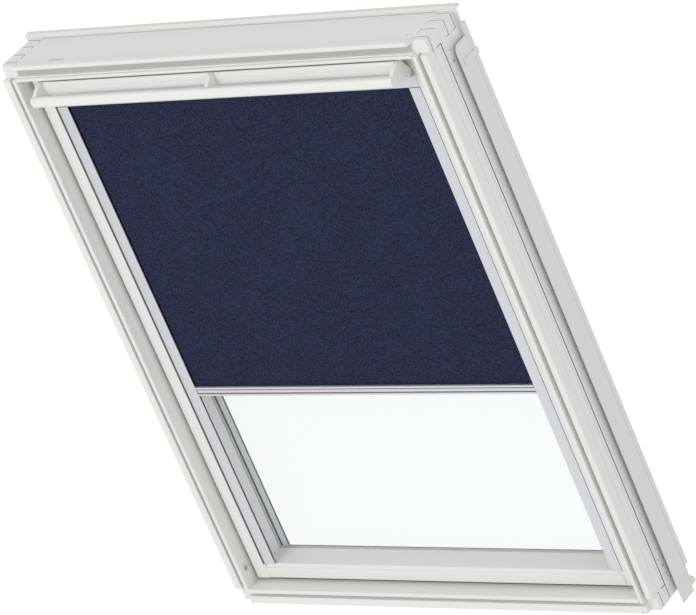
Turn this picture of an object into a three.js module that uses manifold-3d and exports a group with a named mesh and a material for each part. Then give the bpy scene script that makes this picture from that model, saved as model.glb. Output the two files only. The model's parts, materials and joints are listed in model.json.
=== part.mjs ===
// Centre-pivot roof window with a fitted roller blind.
// Millimetres. X runs across the window, Y from the room to the roof side, Z up the slope.
// The origin is the middle of the frame's lower outer face.
import * as THREE from 'three';
import { mergeVertices } from 'three/addons/utils/BufferGeometryUtils.js';
import Module from 'manifold-3d';

const wasm = await Module();
wasm.setup();

// Overall frame
const FRAME_WIDTH = 1114;
const FRAME_HEIGHT = 1374;
const FRAME_DEPTH = 121.7;
const ORIGIN_DEPTH = 59.25;
const MEMBER_WIDTH = 36.9;
const CLEARANCE = 0.3;
const OVERRUN = 5;

// Front moulding of the frame members
const STRIP_WIDTH = 17.2;
const TOP_STRIP_WIDTH = 9.5;
const EDGE_ROUND = 1.5;
const GROOVE_DEPTH = 14;
const LIP_WIDTH = 10.1;
const LIP_REBATE_WIDTH = 2.7;
const LIP_REBATE_DEPTH = 7;
const CORNER_TOP = 32;
const CORNER_BOTTOM = 38;
const CORNER_PAD_DEPTH = 14.7;

// Outer faces of the frame behind the edge strips
const STRIP_DEPTH = 14;
const TOP_STEP = 3.5;
const SIDE_STEP = 1.5;
const BEAD_AT = 49;
const BEAD_STEP = 0.8;
const OUTER_STEP_AT = 57;
const OUTER_STEP = 1.5;

// Fixing holes in the outer side faces, as [depth, distance from the frame's end, radius]
const SIDE_HOLES_TOP = [[76, 64, 2], [74, 87, 4], [66, 112, 2]];
const SIDE_HOLES_BOTTOM = [[66, 90, 2], [75, 71, 4], [76, 50, 2]];
const SIDE_HOLE_DEPTH = 9;

// Slot and holes in the top face, as [distance from the frame's side, depth, radius]
const TOP_SLOT = [124, 164, 25.5, 31.5];
const TOP_SLOT_DEPTH = 6;
const TOP_HOLES_LEFT = [[24, 42, 1.6]];
const TOP_HOLES_RIGHT = [[37, 40.4, 1.6], [57.5, 36.8, 2.2], [115, 122.8, 6]];

// Finger joints at the frame corners
const FINGER_LENGTH = 37;
const FINGER_SEAMS = [27.8, 57, 88.8, 115];
const SEAM_WIDTH = 1;
const SEAM_DEPTH = 2.5;
const SEAM_HOOKS = [6, 17, 8, 9];

// Roof-side flange and side covers
const FLANGE_THICKNESS = 17.3;
const FLANGE_TOP_REACH = 6.6;
const FLANGE_SIDE_REACH = 8.7;
const FLANGE_BOTTOM_REACH = 15;
const FLANGE_INNER_EDGE = 34;
const FLANGE_BEAD = 3.4;
const COVER_REACH = 46.1;
const COVER_SHEET = 1.6;
const COVER_CORNER_DEPTH = 15;
const COVER_CORNER_HEIGHT = 14;
const COVER_CORNER_STEPS = 6;
const COVER_TOP_GAP = 58;
const COVER_DROP = 27.5;
const CLIP_WIDTH = 14;
const CLIP_DROP = 101;
const CLIP_LENGTH = 52.9;
const CLIP_SHEET = 1.4;
const CLIP_SCREW_RADIUS = 2.6;
const CLIP_SCREW_HEAD = 1;
const CLIP_SCREW_INSET = 3.9;
const CLIP_SCREW_SHANK_RADIUS = 1.6;
const CLIP_SCREW_LENGTH = 6;

// Sash
const SASH_SIDE_INSET = 45;
const SASH_TOP_INSET = 45;
const SASH_BOTTOM_INSET = 45.5;
const SASH_FRONT = 34.6;
const SASH_MEMBER = 34.1;
const SASH_TOP_MEMBER = 36;
const SASH_BOTTOM_MEMBER = 35.6;
const SASH_BOTTOM_STEP_AT = 26;
const SASH_BOTTOM_STEP_DEPTH = 4.4;
const SASH_WALL_END = 98;
const SASH_UPSTAND = 12;
const SASH_EDGE_ROUND = 1.2;

// Glass unit and what holds it
const GASKET_THICKNESS = 6.4;
const GASKET_PROUD = 1.2;
const PANE_THICKNESS = 4;
const PANE_CAVITY = 16;
const PANE_EDGE_GAP = 2;
const SPACER_INNER_INSET = 80.9;
const SPACER_BOTTOM_INSET = 66;
const SPACER_WIDTH = 4.8;
const SASH_COVER_SHEET = 3;
const SASH_COVER_LAP = 35.9;
const SASH_COVER_BOTTOM_LAP = 20.3;
const SASH_COVER_SKIRT = 26;
const SASH_COVER_PROUD = 1.8;

// Seal between frame and sash
const SEAL_START = 80;
const SEAL_WIDTH = 8;
const SEAL_PROUD = 1.5;

// Pivot hinges
const PIVOT_DEPTH = 60;
const HINGE_PLATE = 3;
const HINGE_PLATE_HALF_HEIGHT = 58;
const HINGE_PLATE_HALF_DEPTH = 20;
const HINGE_BOSS_RADIUS = 12;
const HINGE_PIN_RADIUS = 6;
const HINGE_PIN_REACH = 4;

// Control bar and ventilation flap
const FLAP_LEFT_GAP = 9;
const FLAP_RIGHT_GAP = 0.5;
const FLAP_SHEET = 3;
const FLAP_PIVOT_DEPTH = 29;
const FLAP_PIVOT_DROP = 88;
const FLAP_BARREL_RADIUS = 4.6;
const FLAP_PIN_RADIUS = 2.2;
const LUG_HALF_WIDTH = 8;
const LUG_PLATE = 4;
const LUG_TOP_DROP = 60;
const LUG_END_GAP = 48;
const LUG_LOCK_GAP = 16;
const FLAP_FACE_POINTS = [
  [11, 42], [7.4, 50], [6.2, 60], [9.2, 71], [15.5, 79.5], [24.6, 87.5],
];
const FLAP_FACE_STEPS = 14;
const BRACKET_THICKNESS = 9;
const ARM_UPPER_POINTS = [[16, 43.4], [8.1, 43.4], [-2.9, 46.7], [-20.3, 56.6], [-30, 64]];
const ARM_LOWER_POINTS = [[-27, 81], [-18, 79.5], [-9.4, 76], [0, 75.2], [12, 77.5]];
const ARM_STEPS = 10;
const CHEEK_POINTS = [
  [10, 43.4], [8, 50], [7, 60], [8, 72], [12, 78], [24, 91], [28, 93], [34.2, 93],
  [34.2, 78], [16, 43.4],
];
const BAR_DEPTH = -26;
const BAR_DROP = 70.5;
const BAR_HALF_DEPTH = 9;
const BAR_HALF_HEIGHT = 11.6;
const BAR_SQUARENESS = 2.6;
const BAR_WALL = 2.4;
const BAR_SIDES = 24;

// Lock
const LOCK_HALF_LENGTH = 70;
const LOCK_DEPTH = 20;
const LOCK_DROP = 51;
const LOCK_HEIGHT = 20;
const LATCH_HALF_WIDTH = 10;
const LATCH_THICKNESS = 6;
const LATCH_DEPTH = 22;
const LATCH_TOP_DROP = 42;
const LATCH_LENGTH = 18;
const LATCH_TRAVEL = 9;
const STRIKE_HALF_LENGTH = 26;
const STRIKE_PLATE = 2.5;
const STRIKE_START = 14;
const STRIKE_END = 40;

// Barrel bolt and its bushes
const BOLT_RADIUS = 4.5;
const BOLT_DEPTH = 46;
const BOLT_LENGTH = 26;
const BOLT_KNOB_INSET = 66;
const BOLT_KNOB_RADIUS = 3.2;
const BOLT_KNOB_PROUD = 4;
const BOLT_TRAVEL = 10;
const BUSH_DEPTH = 20;
const BUSH_DROP = 98.5;
const BUSH_LOWER_HEIGHT = 82;
const BUSH_HOLE_RADIUS = 5.8;
const BUSH_RADIUS = 10.5;
const BUSH_FLANGE = 1.2;
const BUSH_SHANK_RADIUS = 7.6;
const BUSH_SHANK = 8;

// Blind
const CHANNEL_WIDTH = 27.5;
const CHANNEL_FRONT = 36.8;
const CHANNEL_DEPTH = 9.6;
const CHANNEL_SHEET = 1.2;
const HEADBOX_BOTTOM_DROP = 122;
const HEADBOX_FRONT = 38.4;
const HEADBOX_DEPTH = 42;
const HEADBOX_SHEET = 1.2;
const HEADBOX_CAP = 3;
const FABRIC_DEPTH = 41.7;
const FABRIC_THICKNESS = 0.6;
const FABRIC_EDGE_IN_CHANNEL = 18;
const FABRIC_SLOT = 4;
const ROLLER_RADIUS = 14;
const ROLLER_WALL = 1.4;
const ROLL_RADIUS = 15.6;
const ROLLER_END_GAP = 5;
const PLUG_LENGTH = 16;
const AXLE_RADIUS = 4;
const BAR_TOP_DROP = 828.6;
const BLIND_BAR_HEIGHT = 21.2;
const BLIND_BAR_FRONT = 36.8;
const BLIND_BAR_THICKNESS = 12;
const BLIND_BAR_RIB = 7;
const BLIND_BAR_RECESS = 1.6;
const GLIDE_REACH = 18;
const GLIDE_THICKNESS = 3.4;

// Places worked out from the sizes above
const HALF_WIDTH = FRAME_WIDTH / 2;
const PIVOT_Z = FRAME_HEIGHT / 2;
const GASKET_START = SASH_WALL_END + CLEARANCE;
const GLASS_START = GASKET_START + GASKET_THICKNESS + CLEARANCE;
const INNER_PANE_END = GLASS_START + PANE_THICKNESS;
const OUTER_PANE_START = INNER_PANE_END + PANE_CAVITY;
const GLASS_END = OUTER_PANE_START + PANE_THICKNESS;
const SASH_UPSTAND_END = GLASS_END;
const SASH_COVER_END = GLASS_END + CLEARANCE + SASH_COVER_SHEET;
const FLANGE_END = FRAME_DEPTH + CLEARANCE + FLANGE_THICKNESS;
const COVER_START = FRAME_DEPTH - COVER_REACH;
const CLIP_START = FLANGE_END - CLIP_LENGTH;
const CLIP_SCREW_DEPTH = CLIP_START + CLIP_SCREW_INSET;
const BUSH_ARM = Math.hypot(PIVOT_DEPTH - BUSH_DEPTH, PIVOT_Z - BUSH_DROP);
const BOLT_DROP = PIVOT_Z - Math.sqrt(BUSH_ARM ** 2 - (PIVOT_DEPTH - BOLT_DEPTH) ** 2);
const HEADBOX_TOP_DROP = SASH_TOP_INSET + SASH_TOP_MEMBER + CLEARANCE;
const ROLLER_DEPTH = FABRIC_DEPTH + FABRIC_THICKNESS + CLEARANCE + ROLL_RADIUS;
const ROLLER_DROP = (HEADBOX_TOP_DROP + HEADBOX_BOTTOM_DROP) / 2;
const SASH_INNER = SASH_SIDE_INSET + SASH_MEMBER;
const FLAP_LEFT_REACH = HALF_WIDTH - SASH_INNER - FLAP_LEFT_GAP;
const FLAP_RIGHT_REACH = HALF_WIDTH - SASH_INNER - FLAP_RIGHT_GAP;
const LUG_PLACES = [
  LUG_END_GAP + LUG_HALF_WIDTH - FLAP_LEFT_REACH,
  LOCK_HALF_LENGTH + LUG_LOCK_GAP + LUG_HALF_WIDTH,
  FLAP_LEFT_REACH - LUG_END_GAP - LUG_HALF_WIDTH,
];
const CHANNEL_INSET = SASH_INNER + CLEARANCE;
const CHANNEL_INNER = CHANNEL_INSET + CHANNEL_WIDTH;

const ROUND_SIDES = 24;
const ROLLER_SIDES = 24;
const LEFT = -1;
const RIGHT = 1;

// Finishes
const paint = (color, roughness = 0.35, metalness = 0) =>
  new THREE.MeshStandardMaterial({ color, roughness, metalness });
const WHITE_LACQUER = paint(0xe6e6e0);
const PALE_METAL = paint(0xd2d2ce, 0.4, 0.3);
const SATIN_ALUMINIUM = paint(0xc9c9d2, 0.35, 0.8);
const ZINC = paint(0xb4b6b8, 0.35, 0.9);
const GREY_RUBBER = paint(0x5a5c5e, 0.8);
const NAVY_CLOTH = paint(0x2b2f47, 0.9);
const CLEAR_GLASS = paint(0xe6f4f2, 0.05);
const SPACER_METAL = paint(0xb6bcbe, 0.4, 0.6);
const SEALANT = paint(0x2c3a40, 0.6);
const WHITE_PLASTIC = paint(0xe2e2de, 0.45);

const root = new THREE.Group();

// Placing: depth is measured from the room-side face, drop from the top edge
const yAt = (depth) => depth - ORIGIN_DEPTH;
const zAt = (drop) => FRAME_HEIGHT - drop;
const xAt = (side, inset) => side * (HALF_WIDTH - inset);

function shapeOf(points) {
  return new THREE.Shape(points.map(([u, v]) => new THREE.Vector2(u, v)));
}

// Prism of an outline of [y, z] pairs along X
function prismX(outline, from, to) {
  const geometry = new THREE.ExtrudeGeometry(shapeOf(outline), {
    depth: to - from, bevelEnabled: false, steps: 1,
  });
  const turn = new THREE.Matrix4().makeBasis(
    new THREE.Vector3(0, 1, 0), new THREE.Vector3(0, 0, 1), new THREE.Vector3(1, 0, 0),
  );
  return geometry.applyMatrix4(turn).translate(from, 0, 0);
}

// Prism of an outline of [x, y] pairs along Z
function prismZ(outline, from, to) {
  const geometry = new THREE.ExtrudeGeometry(shapeOf(outline), {
    depth: to - from, bevelEnabled: false, steps: 1,
  });
  return geometry.translate(0, 0, from);
}

// Prism of an outline of [x, z] pairs along Y
function prismY(outline, from, to) {
  const geometry = new THREE.ExtrudeGeometry(shapeOf(outline.map(([x, z]) => [z, x])), {
    depth: to - from, bevelEnabled: false, steps: 1,
  });
  const turn = new THREE.Matrix4().makeBasis(
    new THREE.Vector3(0, 0, 1), new THREE.Vector3(1, 0, 0), new THREE.Vector3(0, 1, 0),
  );
  return geometry.applyMatrix4(turn).translate(0, from, 0);
}

function block(low, high) {
  const size = high.map((value, axis) => value - low[axis]);
  const middle = high.map((value, axis) => (value + low[axis]) / 2);
  return new THREE.BoxGeometry(...size).translate(...middle);
}

// Round bar along X, with its middle at [x, y, z]
function rodX(radius, length, middle, sides = ROUND_SIDES) {
  return new THREE.CylinderGeometry(radius, radius, length, sides)
    .rotateZ(Math.PI / 2).translate(...middle);
}

// Round bar along Y
function rodY(radius, length, middle, sides = ROUND_SIDES) {
  return new THREE.CylinderGeometry(radius, radius, length, sides).translate(...middle);
}

// Solids for cutting and joining
function solid(geometry) {
  const bare = geometry.clone();
  bare.deleteAttribute('normal');
  bare.deleteAttribute('uv');
  const merged = mergeVertices(bare, 1e-4);
  return new wasm.Manifold(new wasm.Mesh({
    numProp: 3,
    vertProperties: new Float32Array(merged.attributes.position.array),
    triVerts: new Uint32Array(merged.index.array),
  }));
}

function surface(manifold) {
  const mesh = manifold.getMesh();
  const geometry = new THREE.BufferGeometry();
  geometry.setAttribute('position', new THREE.BufferAttribute(mesh.vertProperties, 3));
  geometry.setIndex(new THREE.BufferAttribute(mesh.triVerts, 1));
  geometry.computeVertexNormals();
  return geometry;
}

function join(...geometries) {
  return surface(geometries.map(solid).reduce((whole, piece) => whole.add(piece)));
}

function cut(geometry, ...tools) {
  return surface(tools.map(solid).reduce((whole, tool) => whole.subtract(tool), solid(geometry)));
}

function piece(name, geometry, material) {
  const mesh = new THREE.Mesh(geometry, material);
  mesh.name = name;
  root.add(mesh);
}

// Frame members: [inset, depth] outline of the moulded section, seen along the member
function frameSection(rebated, strip, outer) {
  const lipStart = MEMBER_WIDTH - LIP_WIDTH;
  const front = [
    [0, EDGE_ROUND], [EDGE_ROUND, 0],
    [strip - EDGE_ROUND, 0], [strip, EDGE_ROUND],
    [strip, GROOVE_DEPTH], [lipStart, GROOVE_DEPTH],
  ];
  const rebate = rebated ? [
    [lipStart, LIP_REBATE_DEPTH],
    [lipStart + LIP_REBATE_WIDTH, LIP_REBATE_DEPTH],
    [lipStart + LIP_REBATE_WIDTH, EDGE_ROUND],
    [lipStart + LIP_REBATE_WIDTH + EDGE_ROUND, 0],
  ] : [[lipStart, EDGE_ROUND], [lipStart + EDGE_ROUND, 0]];
  const wall = [
    [MEMBER_WIDTH - EDGE_ROUND, 0], [MEMBER_WIDTH, EDGE_ROUND], [MEMBER_WIDTH, FRAME_DEPTH],
  ];
  return [...front, ...rebate, ...wall, ...outer];
}

// Outer faces of the side, top and bottom members, from the roof side to the edge strip
const SIDE_DEEP_STEP = SIDE_STEP + OUTER_STEP;
const SIDE_FACE = [
  [SIDE_DEEP_STEP, FRAME_DEPTH], [SIDE_DEEP_STEP, OUTER_STEP_AT], [SIDE_STEP, OUTER_STEP_AT],
  [SIDE_STEP, BEAD_AT + BEAD_STEP], [SIDE_STEP + BEAD_STEP, BEAD_AT],
  [SIDE_STEP, BEAD_AT - BEAD_STEP], [SIDE_STEP, STRIP_DEPTH], [0, STRIP_DEPTH],
];
const TOP_FACE = [[TOP_STEP, FRAME_DEPTH], [TOP_STEP, STRIP_DEPTH], [0, STRIP_DEPTH]];
const BOTTOM_FACE = [[0, FRAME_DEPTH]];

const asSide = (side, section) => section.map(([inset, depth]) => [xAt(side, inset), yAt(depth)]);
const asTop = (section) => section.map(([inset, depth]) => [yAt(depth), zAt(inset)]);
const asBottom = (section) => section.map(([inset, depth]) => [yAt(depth), inset]);

// Depth bands between the finger seams that belong to the top and bottom members
function railBands() {
  return [[FINGER_SEAMS[0], FINGER_SEAMS[1]], [FINGER_SEAMS[2], FINGER_SEAMS[3]]];
}

// Depth bands that belong to the side members
function postBands() {
  return [
    [-OVERRUN, FINGER_SEAMS[0]],
    [FINGER_SEAMS[1], FINGER_SEAMS[2]],
    [FINGER_SEAMS[3], FRAME_DEPTH + OVERRUN],
  ];
}

// A cutter for one finger, with half the clearance on its front and back
function fingerCutter(side, atTop, [start, end], length) {
  const low = start + (start > 0 ? -CLEARANCE / 2 : 0);
  const high = end + CLEARANCE / 2;
  const near = atTop ? FRAME_HEIGHT - length - CLEARANCE : -OVERRUN;
  const far = atTop ? FRAME_HEIGHT + OVERRUN : length + CLEARANCE;
  const inner = xAt(side, length + CLEARANCE);
  const outer = xAt(side, -OVERRUN);
  return block(
    [Math.min(inner, outer), yAt(low), near],
    [Math.max(inner, outer), yAt(high), far],
  );
}

// A block between two corners given in any order
function between(first, second) {
  return block(
    first.map((value, axis) => Math.min(value, second[axis])),
    first.map((value, axis) => Math.max(value, second[axis])),
  );
}

// Grooves along each finger seam on the outer faces, with a short hook at the inner end
function seamGrooves(side, atTop) {
  const out = [xAt(side, -OVERRUN), atTop ? FRAME_HEIGHT + OVERRUN : -OVERRUN];
  const floorX = xAt(side, SIDE_DEEP_STEP + SEAM_DEPTH);
  const floorZ = atTop ? zAt(TOP_STEP + SEAM_DEPTH) : SEAM_DEPTH;
  const heightAt = (reach) => (atTop ? zAt(reach) : reach);
  return FINGER_SEAMS.map((depth, index) => {
    const [front, back] = [yAt(depth - SEAM_WIDTH / 2), yAt(depth + SEAM_WIDTH / 2)];
    const hook = yAt(depth - SEAM_HOOKS[index]);
    const last = FINGER_LENGTH - SEAM_WIDTH;
    return [
      between([out[0], front, out[1]], [floorX, back, heightAt(FINGER_LENGTH)]),
      between([out[0], hook, heightAt(last)], [floorX, back, heightAt(FINGER_LENGTH)]),
      between([out[0], front, out[1]], [xAt(side, FINGER_LENGTH), back, floorZ]),
      between([xAt(side, last), hook, out[1]], [xAt(side, FINGER_LENGTH), back, floorZ]),
    ];
  }).flat();
}

// Where the moulded strip and groove of a post stop short of its ends
function stripEnd(side, atTop) {
  const reach = atTop ? CORNER_TOP : CORNER_BOTTOM;
  return between(
    [xAt(side, -OVERRUN), yAt(-OVERRUN), atTop ? zAt(reach) : reach],
    [xAt(side, MEMBER_WIDTH - LIP_WIDTH), yAt(CORNER_PAD_DEPTH), atTop ? zAt(-OVERRUN) : -OVERRUN],
  );
}

// Where a post's lip makes way for the sunk square above and for the groove below
function lipEnd(side, atTop) {
  const grooveEnd = MEMBER_WIDTH - LIP_WIDTH;
  const outer = xAt(side, atTop ? -OVERRUN : grooveEnd);
  const inner = xAt(side, MEMBER_WIDTH + OVERRUN);
  return atTop
    ? between([outer, yAt(-OVERRUN), zAt(CORNER_TOP)], [inner, yAt(CORNER_PAD_DEPTH), zAt(-OVERRUN)])
    : between([outer, yAt(-OVERRUN), STRIP_WIDTH], [inner, yAt(GROOVE_DEPTH), grooveEnd]);
}

// The steps in the outer side face, also taken out of the ends of the rails
function outerSteps(side) {
  const step = (inset, depth) => between(
    [xAt(side, -OVERRUN), yAt(depth), -OVERRUN],
    [xAt(side, inset), yAt(FRAME_DEPTH + OVERRUN), FRAME_HEIGHT + OVERRUN],
  );
  return [step(SIDE_STEP, STRIP_DEPTH), step(SIDE_DEEP_STEP, OUTER_STEP_AT)];
}

// Fixing holes in the outer side face
function sideHoles(side) {
  const hole = ([depth, , radius], z) => rodX(
    radius, 2 * (SIDE_HOLE_DEPTH + OUTER_STEP), [xAt(side, SIDE_STEP), yAt(depth), z], 16,
  );
  return [
    ...SIDE_HOLES_TOP.map((entry) => hole(entry, zAt(entry[1]))),
    ...SIDE_HOLES_BOTTOM.map((entry) => hole(entry, entry[1])),
  ];
}

// Slot and holes in the top face
function topMarks() {
  const [near, far, front, back] = TOP_SLOT;
  const slot = between(
    [xAt(LEFT, near), yAt(front), zAt(TOP_STEP + TOP_SLOT_DEPTH)],
    [xAt(LEFT, far), yAt(back), zAt(-OVERRUN)],
  );
  const hole = (side, [inset, depth, radius]) => new THREE.CylinderGeometry(
    radius, radius, 2 * TOP_SLOT_DEPTH, 16,
  ).rotateX(Math.PI / 2).translate(xAt(side, inset), yAt(depth), zAt(TOP_STEP));
  return [
    slot, ...TOP_HOLES_LEFT.map((entry) => hole(LEFT, entry)),
    ...TOP_HOLES_RIGHT.filter(([, depth]) => depth < FRAME_DEPTH)
      .map((entry) => hole(RIGHT, entry)),
  ];
}

function buildPost(name, side) {
  const section = frameSection(false, STRIP_WIDTH, SIDE_FACE);
  const post = prismZ(asSide(side, section), 0, zAt(TOP_STEP));
  const tools = sideHoles(side);
  for (const atTop of [false, true]) {
    for (const band of railBands()) tools.push(fingerCutter(side, atTop, band, FINGER_LENGTH));
    tools.push(stripEnd(side, atTop), lipEnd(side, atTop), ...seamGrooves(side, atTop));
  }
  if (side === LEFT) {
    for (const z of [zAt(BUSH_DROP), BUSH_LOWER_HEIGHT]) {
      tools.push(rodX(
        BUSH_SHANK_RADIUS + CLEARANCE, 2 * (BUSH_SHANK + CLEARANCE),
        [xAt(side, MEMBER_WIDTH), yAt(BUSH_DEPTH), z],
      ));
    }
  }
  piece(name, cut(post, ...tools), WHITE_LACQUER);
}

function buildRail(name, atTop) {
  const section = atTop
    ? frameSection(true, TOP_STRIP_WIDTH, TOP_FACE)
    : frameSection(false, STRIP_WIDTH, BOTTOM_FACE);
  const outline = atTop ? asTop(section) : asBottom(section);
  const rail = prismX(outline, -HALF_WIDTH, HALF_WIDTH);
  const tools = atTop ? topMarks() : [];
  for (const side of [LEFT, RIGHT]) {
    for (const band of postBands()) tools.push(fingerCutter(side, atTop, band, MEMBER_WIDTH));
    tools.push(...seamGrooves(side, atTop), ...outerSteps(side));
  }
  piece(name, cut(rail, ...tools), WHITE_LACQUER);
}

// Flange profiles on the roof side, with a rounded bead on the room-side outer edge
function flangeSection(reach) {
  const start = FRAME_DEPTH + CLEARANCE;
  return [
    [-reach, start + FLANGE_BEAD], [-reach + FLANGE_BEAD, start],
    [FLANGE_INNER_EDGE, start], [FLANGE_INNER_EDGE, start + FLANGE_BEAD],
    [0, start + FLANGE_BEAD], [0, FLANGE_END - FLANGE_BEAD],
    [-reach + FLANGE_BEAD, FLANGE_END], [-reach, FLANGE_END - FLANGE_BEAD],
  ];
}

function buildFlanges() {
  const wide = HALF_WIDTH + FLANGE_SIDE_REACH;
  const top = flangeSection(FLANGE_TOP_REACH);
  const bottom = flangeSection(FLANGE_BOTTOM_REACH);
  piece('flange_top', prismX(asTop(top), -wide, wide), PALE_METAL);
  piece('flange_bottom', prismX(asBottom(bottom), -wide, wide), PALE_METAL);
  for (const [name, side] of [['flange_left', LEFT], ['flange_right', RIGHT]]) {
    const section = flangeSection(FLANGE_SIDE_REACH);
    piece(name, prismZ(
      asSide(side, section),
      FLANGE_INNER_EDGE + CLEARANCE, FRAME_HEIGHT - FLANGE_INNER_EDGE - CLEARANCE,
    ), PALE_METAL);
  }
}

// Folded side covers over the outer edges of the frame
function buildSideCovers() {
  const end = FRAME_DEPTH;
  const top = FRAME_HEIGHT - COVER_TOP_GAP;
  const corner = Array.from({ length: COVER_CORNER_STEPS + 1 }, (_, step) => {
    const angle = (Math.PI / 2) * (step / COVER_CORNER_STEPS);
    return [
      yAt(COVER_START + COVER_CORNER_DEPTH * (1 - Math.sin(angle))),
      top - COVER_CORNER_HEIGHT * (1 - Math.cos(angle)),
    ];
  });
  const outline = [
    [yAt(COVER_START), -COVER_DROP], [yAt(end), -COVER_DROP], [yAt(end), top], ...corner,
  ];
  for (const [name, side] of [['side_cover_left', LEFT], ['side_cover_right', RIGHT]]) {
    const outer = xAt(side, -FLANGE_SIDE_REACH);
    const inner = outer - side * COVER_SHEET;
    const sheet = prismX(outline, Math.min(inner, outer), Math.max(inner, outer));
    const foldInner = xAt(side, SIDE_DEEP_STEP - CLEARANCE);
    const fold = block(
      [Math.min(outer, foldInner), yAt(end - COVER_SHEET), 0],
      [Math.max(outer, foldInner), yAt(end), top],
    );
    const hole = rodX(
      CLIP_SCREW_SHANK_RADIUS + CLEARANCE, 2 * FLANGE_SIDE_REACH,
      [outer, yAt(CLIP_SCREW_DEPTH), zAt(CLIP_DROP)], 12,
    );
    piece(name, cut(join(sheet, fold), hole), PALE_METAL);
  }
}

// Clips that hook the side covers to the flange
function buildClips() {
  for (const [label, side] of [['left', LEFT], ['right', RIGHT]]) {
    const inner = xAt(side, -FLANGE_SIDE_REACH - CLEARANCE);
    const outer = inner + side * CLIP_SHEET;
    const y = yAt(CLIP_SCREW_DEPTH);
    const z = zAt(CLIP_DROP);
    const tab = block(
      [Math.min(inner, outer), yAt(CLIP_START), z - CLIP_WIDTH / 2],
      [Math.max(inner, outer), yAt(FLANGE_END), z + CLIP_WIDTH / 2],
    );
    const head = rodX(CLIP_SCREW_RADIUS, 2 * CLIP_SCREW_HEAD, [outer, y, z], 12);
    const shank = rodX(
      CLIP_SCREW_SHANK_RADIUS, CLIP_SCREW_LENGTH,
      [outer - side * CLIP_SCREW_LENGTH / 2, y, z], 12,
    );
    piece(`cover_clip_${label}`, join(tab, head, shank), PALE_METAL);
  }
}

// Rubber seals in the gap between frame and sash, one above and one below the hinges
function buildFrameSeal() {
  const inner = MEMBER_WIDTH + CLEARANCE;
  const proud = inner + SEAL_PROUD;
  const stop = PIVOT_Z - HINGE_PLATE_HALF_HEIGHT - CLEARANCE;
  const low = [
    [xAt(LEFT, inner), stop], [xAt(LEFT, inner), inner],
    [xAt(RIGHT, inner), inner], [xAt(RIGHT, inner), stop],
    [xAt(RIGHT, proud), stop], [xAt(RIGHT, proud), proud],
    [xAt(LEFT, proud), proud], [xAt(LEFT, proud), stop],
  ];
  const high = low.map(([x, z]) => [x, FRAME_HEIGHT - z]).reverse();
  const [from, to] = [yAt(SEAL_START), yAt(SEAL_START + SEAL_WIDTH)];
  piece('frame_seal_lower', prismY(low, from, to), GREY_RUBBER);
  piece('frame_seal_upper', prismY(high, from, to), GREY_RUBBER);
}

// Bushes that take the barrel bolt, in the left post's inner wall
function buildBushes() {
  const profile = [
    [BUSH_HOLE_RADIUS, -BUSH_SHANK], [BUSH_SHANK_RADIUS, -BUSH_SHANK],
    [BUSH_SHANK_RADIUS, CLEARANCE], [BUSH_RADIUS, CLEARANCE],
    [BUSH_RADIUS - BUSH_FLANGE / 2, CLEARANCE + BUSH_FLANGE],
    [BUSH_HOLE_RADIUS, CLEARANCE + BUSH_FLANGE], [BUSH_HOLE_RADIUS, -BUSH_SHANK],
  ].map(([radius, along]) => new THREE.Vector2(radius, along));
  for (const [name, z] of [['bolt_bush_upper', zAt(BUSH_DROP)], ['bolt_bush_lower', BUSH_LOWER_HEIGHT]]) {
    const bush = new THREE.LatheGeometry(profile, ROUND_SIDES).rotateZ(-Math.PI / 2);
    piece(name, surface(solid(bush.translate(
      xAt(LEFT, MEMBER_WIDTH), yAt(BUSH_DEPTH), z,
    ))), WHITE_PLASTIC);
  }
}

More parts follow.
